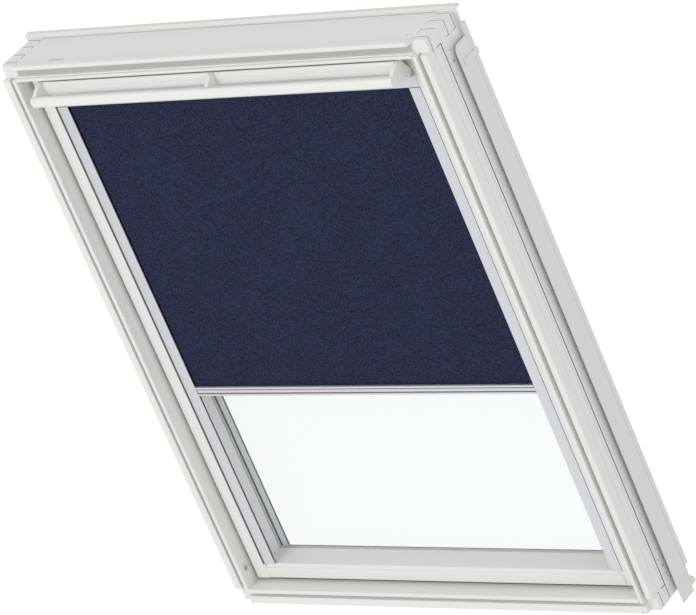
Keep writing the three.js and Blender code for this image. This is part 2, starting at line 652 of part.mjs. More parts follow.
// Sash members
function buildSash() {
  const edge = SASH_EDGE_ROUND;
  const section = (inset, width) => [
    [inset, SASH_FRONT + edge], [inset + edge, SASH_FRONT],
    [inset + width - edge, SASH_FRONT], [inset + width, SASH_FRONT + edge],
    [inset + width, SASH_WALL_END], [inset + SASH_UPSTAND, SASH_WALL_END],
    [inset + SASH_UPSTAND, SASH_UPSTAND_END], [inset, SASH_UPSTAND_END],
  ];
  const low = SASH_BOTTOM_INSET;
  const bottomSection = [
    [low, SASH_FRONT + edge], [low + edge, SASH_FRONT],
    [low + SASH_BOTTOM_STEP_AT, SASH_FRONT],
    [low + SASH_BOTTOM_STEP_AT + edge, SASH_FRONT + SASH_BOTTOM_STEP_DEPTH],
    [low + SASH_BOTTOM_MEMBER - edge, SASH_FRONT + SASH_BOTTOM_STEP_DEPTH],
    [low + SASH_BOTTOM_MEMBER, SASH_FRONT + SASH_BOTTOM_STEP_DEPTH + edge],
    [low + SASH_BOTTOM_MEMBER, SASH_WALL_END], [low + SASH_UPSTAND, SASH_WALL_END],
    [low + SASH_UPSTAND, SASH_UPSTAND_END], [low, SASH_UPSTAND_END],
  ];
  const postInner = SASH_SIDE_INSET + SASH_MEMBER;
  const railHalf = HALF_WIDTH - postInner - CLEARANCE;
  const railTop = zAt(SASH_TOP_INSET);
  for (const [name, side] of [['sash_left', LEFT], ['sash_right', RIGHT]]) {
    const post = prismZ(
      asSide(side, section(SASH_SIDE_INSET, SASH_MEMBER)), SASH_BOTTOM_INSET, railTop,
    );
    const tools = [];
    if (side === LEFT) {
      const z = zAt(BOLT_DROP);
      tools.push(rodX(
        BOLT_RADIUS + CLEARANCE, 2 * (SASH_MEMBER + OVERRUN),
        [xAt(side, SASH_SIDE_INSET), yAt(BOLT_DEPTH), z],
      ));
      const slotHalf = BOLT_KNOB_RADIUS + CLEARANCE;
      tools.push(block(
        [xAt(side, BOLT_KNOB_INSET - BOLT_TRAVEL) - slotHalf,
          yAt(SASH_FRONT - OVERRUN), z - slotHalf],
        [xAt(side, BOLT_KNOB_INSET) + slotHalf, yAt(BOLT_DEPTH), z + slotHalf],
      ));
    }
    piece(name, cut(post, ...tools), WHITE_LACQUER);
  }
  const middle = (outline) => prismX(outline, -railHalf, railHalf);
  piece('sash_top', middle(asTop(section(SASH_TOP_INSET, SASH_TOP_MEMBER))), WHITE_LACQUER);
  piece('sash_bottom', middle(asBottom(bottomSection)), WHITE_LACQUER);
}

// A flat plate to given insets, and a flat frame between two such outlines
function plate(edge, from, to) {
  return prismY([
    [xAt(LEFT, edge.side), edge.bottom], [xAt(RIGHT, edge.side), edge.bottom],
    [xAt(RIGHT, edge.side), zAt(edge.top)], [xAt(LEFT, edge.side), zAt(edge.top)],
  ], yAt(from), yAt(to));
}

function ring(outer, inner, from, to) {
  return cut(plate(outer, from, to), plate(inner, from - OVERRUN, to + OVERRUN));
}

const insets = (side, top, bottom) => ({ side, top, bottom });
const grow = (edge, amount) => insets(
  edge.side + amount, edge.top + amount, edge.bottom + amount,
);

// Gasket, panes, spacer and edge sealant
function buildGlass() {
  const sashOuter = insets(SASH_SIDE_INSET, SASH_TOP_INSET, SASH_BOTTOM_INSET);
  const paneEdge = grow(sashOuter, SASH_UPSTAND + PANE_EDGE_GAP);
  const wallEdge = insets(
    SASH_SIDE_INSET + SASH_MEMBER,
    SASH_TOP_INSET + SASH_TOP_MEMBER,
    SASH_BOTTOM_INSET + SASH_BOTTOM_MEMBER,
  );
  const gasketInner = grow(wallEdge, GASKET_PROUD);
  piece('glazing_gasket', ring(
    paneEdge, gasketInner, GASKET_START, GASKET_START + GASKET_THICKNESS,
  ), GREY_RUBBER);
  const pane = (start) => plate(paneEdge, start, start + PANE_THICKNESS);
  piece('inner_pane', pane(GLASS_START), CLEAR_GLASS);
  piece('outer_pane', pane(OUTER_PANE_START), CLEAR_GLASS);
  const spacerInner = insets(SPACER_INNER_INSET, SPACER_INNER_INSET, SPACER_BOTTOM_INSET);
  const spacerOuter = grow(spacerInner, -SPACER_WIDTH);
  const start = INNER_PANE_END + CLEARANCE;
  const end = OUTER_PANE_START - CLEARANCE;
  piece('glass_spacer', ring(spacerOuter, spacerInner, start, end), SPACER_METAL);
  piece('edge_sealant', ring(
    grow(paneEdge, CLEARANCE), grow(spacerOuter, -CLEARANCE), start, end,
  ), SEALANT);
}

// Weather covers round the glass, on the roof side of the sash
function buildSashCovers() {
  const section = (inset, lap) => [
    [inset - SASH_COVER_PROUD, SASH_COVER_END - SASH_COVER_SKIRT],
    [inset - CLEARANCE, SASH_COVER_END - SASH_COVER_SKIRT],
    [inset - CLEARANCE, GLASS_END + CLEARANCE],
    [inset + lap, GLASS_END + CLEARANCE],
    [inset + lap - SASH_COVER_SHEET, SASH_COVER_END],
    [inset - SASH_COVER_PROUD + EDGE_ROUND, SASH_COVER_END],
    [inset - SASH_COVER_PROUD, SASH_COVER_END - EDGE_ROUND],
  ];
  const wide = HALF_WIDTH - SASH_SIDE_INSET + SASH_COVER_PROUD;
  piece('sash_cover_top', prismX(
    asTop(section(SASH_TOP_INSET, SASH_COVER_LAP)), -wide, wide,
  ), PALE_METAL);
  piece('sash_cover_bottom', prismX(
    asBottom(section(SASH_BOTTOM_INSET, SASH_COVER_BOTTOM_LAP)), -wide, wide,
  ), PALE_METAL);
  for (const [name, side] of [['sash_cover_left', LEFT], ['sash_cover_right', RIGHT]]) {
    piece(name, prismZ(
      asSide(side, section(SASH_SIDE_INSET, SASH_COVER_LAP)),
      SASH_BOTTOM_INSET + SASH_COVER_BOTTOM_LAP + CLEARANCE,
      zAt(SASH_TOP_INSET + SASH_COVER_LAP + CLEARANCE),
    ), PALE_METAL);
  }
}

// Pivot hinges: a plate and boss on the frame, a plate and pin on the sash
function buildHinges() {
  const y = yAt(PIVOT_DEPTH);
  for (const [label, side] of [['left', LEFT], ['right', RIGHT]]) {
    const wall = MEMBER_WIDTH + CLEARANCE;
    const bossEnd = SASH_SIDE_INSET - 2 * CLEARANCE - HINGE_PLATE - CLEARANCE;
    const platePlaces = [xAt(side, wall), xAt(side, wall + HINGE_PLATE)];
    const plate = block(
      [Math.min(...platePlaces), y - HINGE_PLATE_HALF_DEPTH, PIVOT_Z - HINGE_PLATE_HALF_HEIGHT],
      [Math.max(...platePlaces), y + HINGE_PLATE_HALF_DEPTH, PIVOT_Z + HINGE_PLATE_HALF_HEIGHT],
    );
    const boss = rodX(
      HINGE_BOSS_RADIUS, bossEnd - wall, [xAt(side, (bossEnd + wall) / 2), y, PIVOT_Z],
    );
    const bore = rodX(
      HINGE_PIN_RADIUS + CLEARANCE, 2 * SASH_MEMBER, [xAt(side, wall), y, PIVOT_Z],
    );
    const frameHinge = surface(solid(plate).add(solid(boss)).subtract(solid(bore)));
    piece(`frame_hinge_${label}`, frameHinge, ZINC);

    const sashFace = SASH_SIDE_INSET - CLEARANCE;
    const sashPlaces = [xAt(side, sashFace), xAt(side, sashFace - HINGE_PLATE)];
    const sashPlate = block(
      [Math.min(...sashPlaces), y - HINGE_PLATE_HALF_DEPTH, PIVOT_Z - HINGE_PLATE_HALF_HEIGHT],
      [Math.max(...sashPlaces), y + HINGE_PLATE_HALF_DEPTH, PIVOT_Z + HINGE_PLATE_HALF_HEIGHT],
    );
    const pinLength = HINGE_PIN_REACH + HINGE_PLATE;
    const pin = rodX(HINGE_PIN_RADIUS, pinLength, [
      xAt(side, sashFace - pinLength / 2), y, PIVOT_Z,
    ]);
    piece(`sash_hinge_${label}`, join(sashPlate, pin), ZINC);
  }
}

// Outline of a closed band of constant thickness on one side of a line of points
function band(line, thickness) {
  const points = line.map(([u, v]) => new THREE.Vector2(u, v));
  const offset = points.map((point, index) => {
    const before = points[Math.max(index - 1, 0)];
    const after = points[Math.min(index + 1, points.length - 1)];
    const along = after.clone().sub(before).normalize();
    return [point.x - along.y * thickness, point.y + along.x * thickness];
  });
  return [...line, ...offset.reverse()];
}

// Bowed face of the ventilation flap, as [y, z] pairs from its top edge to its hinge
function flapFace() {
  const curve = new THREE.CatmullRomCurve3(FLAP_FACE_POINTS.map(
    ([depth, drop]) => new THREE.Vector3(depth, drop, 0),
  ));
  return curve.getPoints(FLAP_FACE_STEPS).map((point) => [yAt(point.x), zAt(point.y)]);
}

// Rounded section of the handle bar, grown by an amount
function barSection(growth = 0) {
  return Array.from({ length: BAR_SIDES }, (_, index) => {
    const angle = (2 * Math.PI * index) / BAR_SIDES;
    const rounded = (value) => Math.sign(value) * Math.abs(value) ** (2 / BAR_SQUARENESS);
    return [
      yAt(BAR_DEPTH) + (BAR_HALF_DEPTH + growth) * rounded(Math.cos(angle)),
      zAt(BAR_DROP) + (BAR_HALF_HEIGHT + growth) * rounded(Math.sin(angle)),
    ];
  });
}

// Curved arm from the flap to the handle bar
function armOutline() {
  const line = (points) => new THREE.CatmullRomCurve3(points.map(
    ([depth, drop]) => new THREE.Vector3(depth, drop, 0),
  )).getPoints(ARM_STEPS).map((point) => [yAt(point.x), zAt(point.y)]);
  return [...line(ARM_UPPER_POINTS), ...line(ARM_LOWER_POINTS)];
}

function flapPinBore(from, to) {
  return rodX(FLAP_PIN_RADIUS + CLEARANCE, to - from, [
    (from + to) / 2, yAt(FLAP_PIVOT_DEPTH), zAt(FLAP_PIVOT_DROP),
  ], 16);
}

// Flap, handle bar and the three brackets between them
function buildFlap() {
  const y = yAt(FLAP_PIVOT_DEPTH);
  const z = zAt(FLAP_PIVOT_DROP);
  const endAt = (side) => (side === LEFT ? -FLAP_LEFT_REACH : FLAP_RIGHT_REACH);
  const innerAt = (side) => endAt(side) - side * (BRACKET_THICKNESS + CLEARANCE);
  const [innerLeft, innerRight] = [innerAt(LEFT), innerAt(RIGHT)];
  const face = flapFace();
  const sheet = prismX(band(face, FLAP_SHEET), innerLeft, innerRight);
  const barrel = rodX(
    FLAP_BARREL_RADIUS, innerRight - innerLeft, [(innerLeft + innerRight) / 2, y, z], 16,
  );
  const notches = LUG_PLACES.map((x) => rodX(
    FLAP_BARREL_RADIUS + FLAP_SHEET, 2 * (LUG_HALF_WIDTH + CLEARANCE), [x, y, z], 16,
  ));
  const bore = flapPinBore(endAt(LEFT), endAt(RIGHT));
  piece('vent_flap', cut(join(sheet, barrel), bore, ...notches), WHITE_LACQUER);

  const hollow = prismX(barSection(-BAR_WALL), endAt(LEFT), endAt(RIGHT));
  piece('handle_bar', cut(prismX(barSection(), innerLeft, innerRight), hollow), WHITE_LACQUER);

  const cheek = CHEEK_POINTS.map(([depth, drop]) => [yAt(depth), zAt(drop)]);
  for (const [name, side] of [['bar_bracket_left', LEFT], ['bar_bracket_right', RIGHT]]) {
    const ends = [innerAt(side) + side * CLEARANCE, endAt(side)];
    const [from, to] = [Math.min(...ends), Math.max(...ends)];
    const plate = join(
      prismX(armOutline(), from, to), prismX(cheek, from, to), prismX(barSection(), from, to),
    );
    piece(name, cut(plate, flapPinBore(from - OVERRUN, to + OVERRUN)), WHITE_LACQUER);
  }
  const half = BRACKET_THICKNESS / 2;
  const behind = [
    ...face.map(([u, v]) => [u - CLEARANCE, v]),
    [yAt(FLAP_PIVOT_DEPTH), zAt(FLAP_PIVOT_DROP)], [yAt(FLAP_PIVOT_DEPTH), zAt(0)],
    [face[0][0] - CLEARANCE, zAt(0)],
  ];
  piece('bar_bracket_middle', cut(
    prismX(armOutline(), -half, half),
    prismX(behind, -BRACKET_THICKNESS, BRACKET_THICKNESS),
    prismX(barSection(CLEARANCE), -BRACKET_THICKNESS, BRACKET_THICKNESS),
  ), WHITE_LACQUER);
}

// Lugs on the sash and the pin that the flap turns on
function buildFlapHinge() {
  const y = yAt(FLAP_PIVOT_DEPTH);
  const z = zAt(FLAP_PIVOT_DROP);
  const back = SASH_FRONT - CLEARANCE;
  LUG_PLACES.forEach((x, index) => {
    const plate = block(
      [x - LUG_HALF_WIDTH, yAt(back - LUG_PLATE), zAt(FLAP_PIVOT_DROP + FLAP_BARREL_RADIUS)],
      [x + LUG_HALF_WIDTH, yAt(back), zAt(LUG_TOP_DROP)],
    );
    const eye = rodX(FLAP_BARREL_RADIUS, 2 * LUG_HALF_WIDTH, [x, y, z], 16);
    const bore = flapPinBore(x - LUG_HALF_WIDTH - OVERRUN, x + LUG_HALF_WIDTH + OVERRUN);
    piece(`flap_lug_${index + 1}`, cut(join(plate, eye), bore), ZINC);
  });
  piece('flap_pin', rodX(FLAP_PIN_RADIUS, FLAP_LEFT_REACH + FLAP_RIGHT_REACH, [
    (FLAP_RIGHT_REACH - FLAP_LEFT_REACH) / 2, y, z,
  ], 16), ZINC);
}

// Lock on the sash behind the flap, its latch, and the strike on the frame
function buildLock() {
  const back = SASH_FRONT - CLEARANCE;
  const lock = block(
    [-LOCK_HALF_LENGTH, yAt(back - LOCK_DEPTH), zAt(LOCK_DROP + LOCK_HEIGHT)],
    [LOCK_HALF_LENGTH, yAt(back), zAt(LOCK_DROP)],
  );
  const latchBack = LATCH_DEPTH + LATCH_THICKNESS / 2;
  const latchFront = LATCH_DEPTH - LATCH_THICKNESS / 2;
  const latchBottom = LATCH_TOP_DROP + LATCH_LENGTH;
  const slot = block(
    [-LATCH_HALF_WIDTH - CLEARANCE, yAt(latchFront - CLEARANCE),
      zAt(latchBottom + LATCH_TRAVEL + CLEARANCE)],
    [LATCH_HALF_WIDTH + CLEARANCE, yAt(latchBack + CLEARANCE), zAt(LOCK_DROP - OVERRUN)],
  );
  piece('lock_case', cut(lock, slot), ZINC);
  piece('latch', block(
    [-LATCH_HALF_WIDTH, yAt(latchFront), zAt(latchBottom)],
    [LATCH_HALF_WIDTH, yAt(latchBack), zAt(LATCH_TOP_DROP)],
  ), ZINC);
  piece('lock_strike', block(
    [-STRIKE_HALF_LENGTH, yAt(STRIKE_START), zAt(MEMBER_WIDTH + CLEARANCE + STRIKE_PLATE)],
    [STRIKE_HALF_LENGTH, yAt(STRIKE_END), zAt(MEMBER_WIDTH + CLEARANCE)],
  ), ZINC);
}

// Barrel bolt in the left sash post, with its thumb knob
function buildBolt() {
  const y = yAt(BOLT_DEPTH);
  const z = zAt(BOLT_DROP);
  const middle = SASH_SIDE_INSET + SASH_MEMBER / 2;
  const bolt = rodX(BOLT_RADIUS, BOLT_LENGTH, [xAt(LEFT, middle), y, z], 16);
  const knobEnd = SASH_FRONT - BOLT_KNOB_PROUD;
  const knob = rodY(BOLT_KNOB_RADIUS, BOLT_DEPTH - knobEnd, [
    xAt(LEFT, BOLT_KNOB_INSET), yAt((BOLT_DEPTH + knobEnd) / 2), z,
  ], 16);
  piece('barrel_bolt', join(bolt, knob), ZINC);
}

// Headbox of the blind: a folded shell with a slot for the cloth, between two end plates
function buildHeadbox() {
  const sheet = HEADBOX_SHEET;
  const [top, bottom] = [zAt(HEADBOX_TOP_DROP), zAt(HEADBOX_BOTTOM_DROP)];
  const [front, back] = [yAt(HEADBOX_FRONT), yAt(HEADBOX_FRONT + HEADBOX_DEPTH)];
  const cloth = yAt(FABRIC_DEPTH + FABRIC_THICKNESS / 2);
  const [slotFront, slotBack] = [cloth - FABRIC_SLOT / 2, cloth + FABRIC_SLOT / 2];
  const shell = [
    [slotFront, bottom], [slotFront, bottom + sheet], [front + sheet, bottom + sheet],
    [front + sheet, top - sheet], [back - sheet, top - sheet], [back - sheet, bottom + sheet],
    [slotBack, bottom + sheet], [slotBack, bottom], [back, bottom],
    [back, top], [front, top], [front, bottom],
  ];
  const plateStart = SASH_SIDE_INSET + SASH_MEMBER + CLEARANCE;
  const shellHalf = HALF_WIDTH - plateStart - HEADBOX_CAP - CLEARANCE;
  piece('headbox', prismX(shell, -shellHalf, shellHalf), SATIN_ALUMINIUM);
  for (const [name, side] of [['headbox_end_left', LEFT], ['headbox_end_right', RIGHT]]) {
    const ends = [xAt(side, plateStart), xAt(side, plateStart + HEADBOX_CAP)];
    const plate = block(
      [Math.min(...ends), front, bottom], [Math.max(...ends), back, top],
    );
    const bearing = rodX(AXLE_RADIUS + CLEARANCE, 4 * HEADBOX_CAP, [
      ends[0], yAt(ROLLER_DEPTH), zAt(ROLLER_DROP),
    ]);
    piece(name, cut(plate, bearing), WHITE_PLASTIC);
  }
}

// Roller: tube, end plugs with axles, and the cloth wound on it
function buildRoller() {
  const middle = [0, yAt(ROLLER_DEPTH), zAt(ROLLER_DROP)];
  const plateStart = SASH_SIDE_INSET + SASH_MEMBER + CLEARANCE;
  const tubeHalf = HALF_WIDTH - plateStart - HEADBOX_CAP - ROLLER_END_GAP;
  const hollow = (radius, wall, half) => {
    const profile = [
      [radius - wall, -half], [radius, -half], [radius, half], [radius - wall, half],
      [radius - wall, -half],
    ].map(([u, v]) => new THREE.Vector2(u, v));
    return surface(solid(
      new THREE.LatheGeometry(profile, ROLLER_SIDES).rotateZ(-Math.PI / 2).translate(...middle),
    ));
  };
  piece('roller_tube', hollow(ROLLER_RADIUS, ROLLER_WALL, tubeHalf), SATIN_ALUMINIUM);
  const rollStart = ROLLER_RADIUS + CLEARANCE;
  const clothHalf = xAt(RIGHT, CHANNEL_INNER - FABRIC_EDGE_IN_CHANNEL);
  piece('fabric_roll', hollow(ROLL_RADIUS, ROLL_RADIUS - rollStart, clothHalf), NAVY_CLOTH);
  for (const [name, side] of [['roller_plug_left', LEFT], ['roller_plug_right', RIGHT]]) {
    const outer = side * tubeHalf;
    const plug = rodX(ROLLER_RADIUS - ROLLER_WALL - CLEARANCE, PLUG_LENGTH, [
      outer - side * PLUG_LENGTH / 2, middle[1], middle[2],
    ]);
    const axleEnd = xAt(side, plateStart + CLEARANCE);
    const axleStart = outer - side * PLUG_LENGTH / 2;
    const axle = rodX(AXLE_RADIUS, Math.abs(axleEnd - axleStart), [
      (axleEnd + axleStart) / 2, middle[1], middle[2],
    ]);
    piece(name, join(plug, axle), WHITE_PLASTIC);
  }
}

// Side channels: folded rails with a slot that the cloth and the glides run in
function buildChannels() {
  const sheet = CHANNEL_SHEET;
  const [front, back] = [yAt(CHANNEL_FRONT), yAt(CHANNEL_FRONT + CHANNEL_DEPTH)];
  const cloth = yAt(FABRIC_DEPTH + FABRIC_THICKNESS / 2);
  const [slotFront, slotBack] = [cloth - FABRIC_SLOT / 2, cloth + FABRIC_SLOT / 2];
  const top = zAt(HEADBOX_BOTTOM_DROP + CLEARANCE);
  const bottom = SASH_BOTTOM_INSET + SASH_BOTTOM_MEMBER + CLEARANCE;
  for (const [name, side] of [['side_channel_left', LEFT], ['side_channel_right', RIGHT]]) {
    const at = (inset) => xAt(side, inset);
    const outline = [
      [at(CHANNEL_INNER), slotFront], [at(CHANNEL_INNER), front], [at(CHANNEL_INSET), front],
      [at(CHANNEL_INSET), back], [at(CHANNEL_INNER), back], [at(CHANNEL_INNER), slotBack],
      [at(CHANNEL_INNER - sheet), slotBack], [at(CHANNEL_INNER - sheet), back - sheet],
      [at(CHANNEL_INSET + sheet), back - sheet], [at(CHANNEL_INSET + sheet), front + sheet],
      [at(CHANNEL_INNER - sheet), front + sheet], [at(CHANNEL_INNER - sheet), slotFront],
    ];
    piece(name, prismZ(outline, bottom, top), SATIN_ALUMINIUM);
  }
}

// Cloth, bottom bar and its glides
function buildCloth() {
  const half = xAt(RIGHT, CHANNEL_INNER - FABRIC_EDGE_IN_CHANNEL);
  piece('blind_fabric', block(
    [-half, yAt(FABRIC_DEPTH), zAt(BAR_TOP_DROP - CLEARANCE)],
    [half, yAt(FABRIC_DEPTH + FABRIC_THICKNESS), zAt(ROLLER_DROP)],
  ), NAVY_CLOTH);
  const [top, bottom] = [zAt(BAR_TOP_DROP), zAt(BAR_TOP_DROP + BLIND_BAR_HEIGHT)];
  const front = yAt(BLIND_BAR_FRONT);
  const back = front + BLIND_BAR_THICKNESS;
  const rib = BLIND_BAR_RIB;
  const recess = BLIND_BAR_RECESS;
  const outline = [
    [back, bottom], [back, top], [front, top], [front, top - rib],
    [front + recess, top - rib - recess], [front + recess, bottom + rib + recess],
    [front, bottom + rib], [front, bottom],
  ];
  const barHalf = xAt(RIGHT, CHANNEL_INNER + 2 * CLEARANCE);
  piece('bottom_bar', prismX(outline, -barHalf, barHalf), SATIN_ALUMINIUM);
  const cloth = yAt(FABRIC_DEPTH + FABRIC_THICKNESS / 2);
  for (const [name, side] of [['end_glide_left', LEFT], ['end_glide_right', RIGHT]]) {
    const x = [side * (barHalf + CLEARANCE), side * (barHalf + GLIDE_REACH)];
    piece(name, block(
      [Math.min(...x), cloth - GLIDE_THICKNESS / 2, bottom],
      [Math.max(...x), cloth + GLIDE_THICKNESS / 2, top],
    ), WHITE_PLASTIC);
  }
}

buildPost('frame_left', LEFT);
buildPost('frame_right', RIGHT);
buildRail('frame_top', true);
buildRail('frame_bottom', false);
buildFlanges();
buildSideCovers();
buildClips();
buildFrameSeal();
buildBushes();
buildSash();
buildGlass();
buildSashCovers();
buildHinges();
buildFlap();
buildFlapHinge();
buildLock();
buildBolt();
buildHeadbox();
buildRoller();
buildChannels();
buildCloth();

export default root;
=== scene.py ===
"""Looks of a centre-pivot roof window with a roller blind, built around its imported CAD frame."""

import json
import logging
import math
from collections.abc import Sequence
from dataclasses import dataclass, field
from enum import Enum

import bmesh
import bpy
import numpy as np
from mathutils import Matrix, Vector


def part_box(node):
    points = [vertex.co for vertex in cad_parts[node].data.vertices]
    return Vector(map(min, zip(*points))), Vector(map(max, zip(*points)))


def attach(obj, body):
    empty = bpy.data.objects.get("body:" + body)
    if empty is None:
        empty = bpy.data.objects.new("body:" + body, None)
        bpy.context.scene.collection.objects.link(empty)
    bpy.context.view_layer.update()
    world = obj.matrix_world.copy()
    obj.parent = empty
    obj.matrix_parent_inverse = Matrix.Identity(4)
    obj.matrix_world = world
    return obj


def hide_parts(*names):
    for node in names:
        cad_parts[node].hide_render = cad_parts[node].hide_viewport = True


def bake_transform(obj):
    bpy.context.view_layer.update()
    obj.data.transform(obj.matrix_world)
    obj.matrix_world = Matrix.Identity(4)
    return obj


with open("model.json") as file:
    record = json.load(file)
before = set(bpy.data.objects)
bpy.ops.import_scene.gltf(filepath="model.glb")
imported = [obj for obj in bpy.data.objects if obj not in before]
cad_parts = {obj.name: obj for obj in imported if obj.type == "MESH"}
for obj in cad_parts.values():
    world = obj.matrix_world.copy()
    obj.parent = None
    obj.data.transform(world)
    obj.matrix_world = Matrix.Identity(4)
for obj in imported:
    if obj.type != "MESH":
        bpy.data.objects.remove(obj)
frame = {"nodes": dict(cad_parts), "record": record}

LOG = logging.getLogger("roof_window")
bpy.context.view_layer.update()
MM = 0.001

Colour = tuple[float, float, float]
Corner = tuple[float, float, float]


class Side(Enum):
    """Left or right of the window, seen from the room."""

    LEFT = -1
    RIGHT = 1


@dataclass(frozen=True)
class Datum:
    """Turns measures in millimetres, taken from the frame's faces, into places in metres.

    Attributes:
        half_width: From the middle to an outer side face.
        height: From the lower outer face to the top edge.
        origin_depth: From the room-side face to the origin.
    """

    half_width: float = 557.0
    height: float = 1374.0
    origin_depth: float = 59.25

    def x(self, side: Side, inset: float) -> float:
        """Place along X of a point that far in from an outer side face."""
        return side.value * (self.half_width - inset) * MM

    def y(self, depth: float) -> float:
        """Place along Y of a point that deep behind the room-side face."""
        return (depth - self.origin_depth) * MM

    def z(self, drop: float) -> float:
        """Place along Z of a point that far below the top edge."""
        return (self.height - drop) * MM


DATUM = Datum()


def slab(first: Corner, second: Corner) -> np.ndarray:
    """Lists the corners of an upright box.

    Args:
        first: One corner in metres.
        second: The opposite corner in metres.

    Returns:
        Eight corners, four of the end at the first X and then four of the other end.
    """
    (x0, y0, z0), (x1, y1, z1) = first, second
    ends = [[(x, y0, z0), (x, y1, z0), (x, y1, z1), (x, y0, z1)] for x in (x0, x1)]
    return np.array(ends[0] + ends[1])


def linear(red: float, green: float, blue: float) -> tuple[float, float, float, float]:
    """Turns screen values from 0 to 255 into a scene colour.

    Each channel c becomes ((c + 0.055) / 1.055) ** 2.4, or c / 12.92 near black.

    Args:
        red: Red on screen.
        green: Green on screen.
        blue: Blue on screen.

    Returns:
        The colour with an alpha of one.
    """
    screen = np.array([red, green, blue]) / 255.0
    scene = np.where(screen <= 0.04045, screen / 12.92, ((screen + 0.055) / 1.055) ** 2.4)
    return (*scene.tolist(), 1.0)


class Signal:
    """One output of a shader graph, on which arithmetic adds Math nodes."""

    def __init__(self, graph: "Graph", socket: bpy.types.NodeSocket) -> None:
        """Wraps a socket of a graph."""
        self.graph = graph
        self.socket = socket

    def sibling(self, name: str) -> "Signal":
        """Another output of the same node."""
        return Signal(self.graph, self.socket.node.outputs[name])

    def _math(
        self, operation: str, first: object, second: object = 0.5, clamp: bool = False
    ) -> "Signal":
        """Adds a Math node with that operation on one or two values or signals."""
        settings = {"operation": operation, "use_clamp": clamp}
        return self.graph.node("ShaderNodeMath", settings, {0: first, 1: second})

    def sine(self) -> "Signal":
        """Sine of a value in radians."""
        return self._math("SINE", self)

    def size(self) -> "Signal":
        """Value without its sign."""
        return self._math("ABSOLUTE", self)

    def beyond(self, limit: float) -> "Signal":
        """One above the limit and zero elsewhere."""
        return self._math("GREATER_THAN", self, limit)

    def clamped_sum(self, other: object) -> "Signal":
        """Sum, kept from zero to one."""
        return self._math("ADD", self, other, clamp=True)

    def __add__(self, other: object) -> "Signal":
        """Sum."""
        return self._math("ADD", self, other)

    def __radd__(self, other: object) -> "Signal":
        """Sum, reflected."""
        return self._math("ADD", other, self)

    def __sub__(self, other: object) -> "Signal":
        """Difference."""
        return self._math("SUBTRACT", self, other)

    def __mul__(self, other: object) -> "Signal":
        """Product."""
        return self._math("MULTIPLY", self, other)

    def __rmul__(self, other: object) -> "Signal":
        """Product, reflected."""
        return self._math("MULTIPLY", other, self)


class Graph:
    """A material's node graph."""

    def __init__(self, name: str) -> None:
        """Starts an empty graph in a new material of that name."""
        self.material = bpy.data.materials.new(name)
        self.material.use_nodes = True
        self.tree = self.material.node_tree
        self.tree.nodes.clear()

    def node(
        self,
        kind: str,
        settings: dict[str, object] | None = None,
        inputs: dict[int | str, object] | None = None,
        output: int | str = 0,
    ) -> Signal:
        """Adds any node.

        Args:
            kind: The node's type.
            settings: Properties of the node.
            inputs: Values or signals, by socket name or number.
            output: The socket that the signal stands for.

        Returns:
            The signal of that output.
        """
        made = self.tree.nodes.new(kind)
        for key, value in (settings or {}).items():
            setattr(made, key, value)
        for key, value in (inputs or {}).items():
            if isinstance(value, Signal):
                self.tree.links.new(value.socket, made.inputs[key])
            else:
                made.inputs[key].default_value = value
        return Signal(self, made.outputs[output])

    def mix(self, share: Signal, low: object, high: object) -> Signal:
        """Mixes two colours or colour signals, all low at share 0 and all high at share 1."""
        inputs = {0: share, 6: low, 7: high}
        return self.node("ShaderNodeMix", {"data_type": "RGBA"}, inputs, output=2)

    def finish(self, surface: Signal) -> bpy.types.Material:
        """Links a shader to the material's output and returns the material."""
        out = self.tree.nodes.new("ShaderNodeOutputMaterial")
        self.tree.links.new(surface.socket, out.inputs["Surface"])
        return self.material


@dataclass(frozen=True)
class Finish:
    """A plain finish: one colour, with a little unevenness in its gloss.

    Attributes:
        name: Name of the material.
        screen: Colour as screen values from 0 to 255.
        roughness: Middle roughness.
        metallic: Share of metal.
        coat: Weight of a clear coat.
        specular: Strength of the plain reflection.
        grain: Range of the roughness.
        grain_size: Scale of the noise that the range follows, per metre.
    """

    name: str
    screen: Colour
    roughness: float
    metallic: float = 0.0
    coat: float = 0.0
    specular: float = 0.5
    grain: float = 0.0
    grain_size: float = 900.0

    def material(self) -> bpy.types.Material:
        """Builds the finish.

        Roughness is the stated one plus grain * (noise - 0.5).

        Returns:
            The material.
        """
        graph = Graph(self.name)
        inputs: dict[int | str, object] = {
            "Base Color": linear(*self.screen),
            "Metallic": self.metallic,
            "Roughness": self.roughness,
            "Coat Weight": self.coat,
            "Specular IOR Level": self.specular,
        }
        if self.grain > 0:
            place = graph.node("ShaderNodeTexCoord", output="Object")
            noise = graph.node(
                "ShaderNodeTexNoise", inputs={"Vector": place, "Scale": self.grain_size}
            )
            inputs["Roughness"] = self.roughness + self.grain * (noise - 0.5)
        return graph.finish(graph.node("ShaderNodeBsdfPrincipled", inputs=inputs))


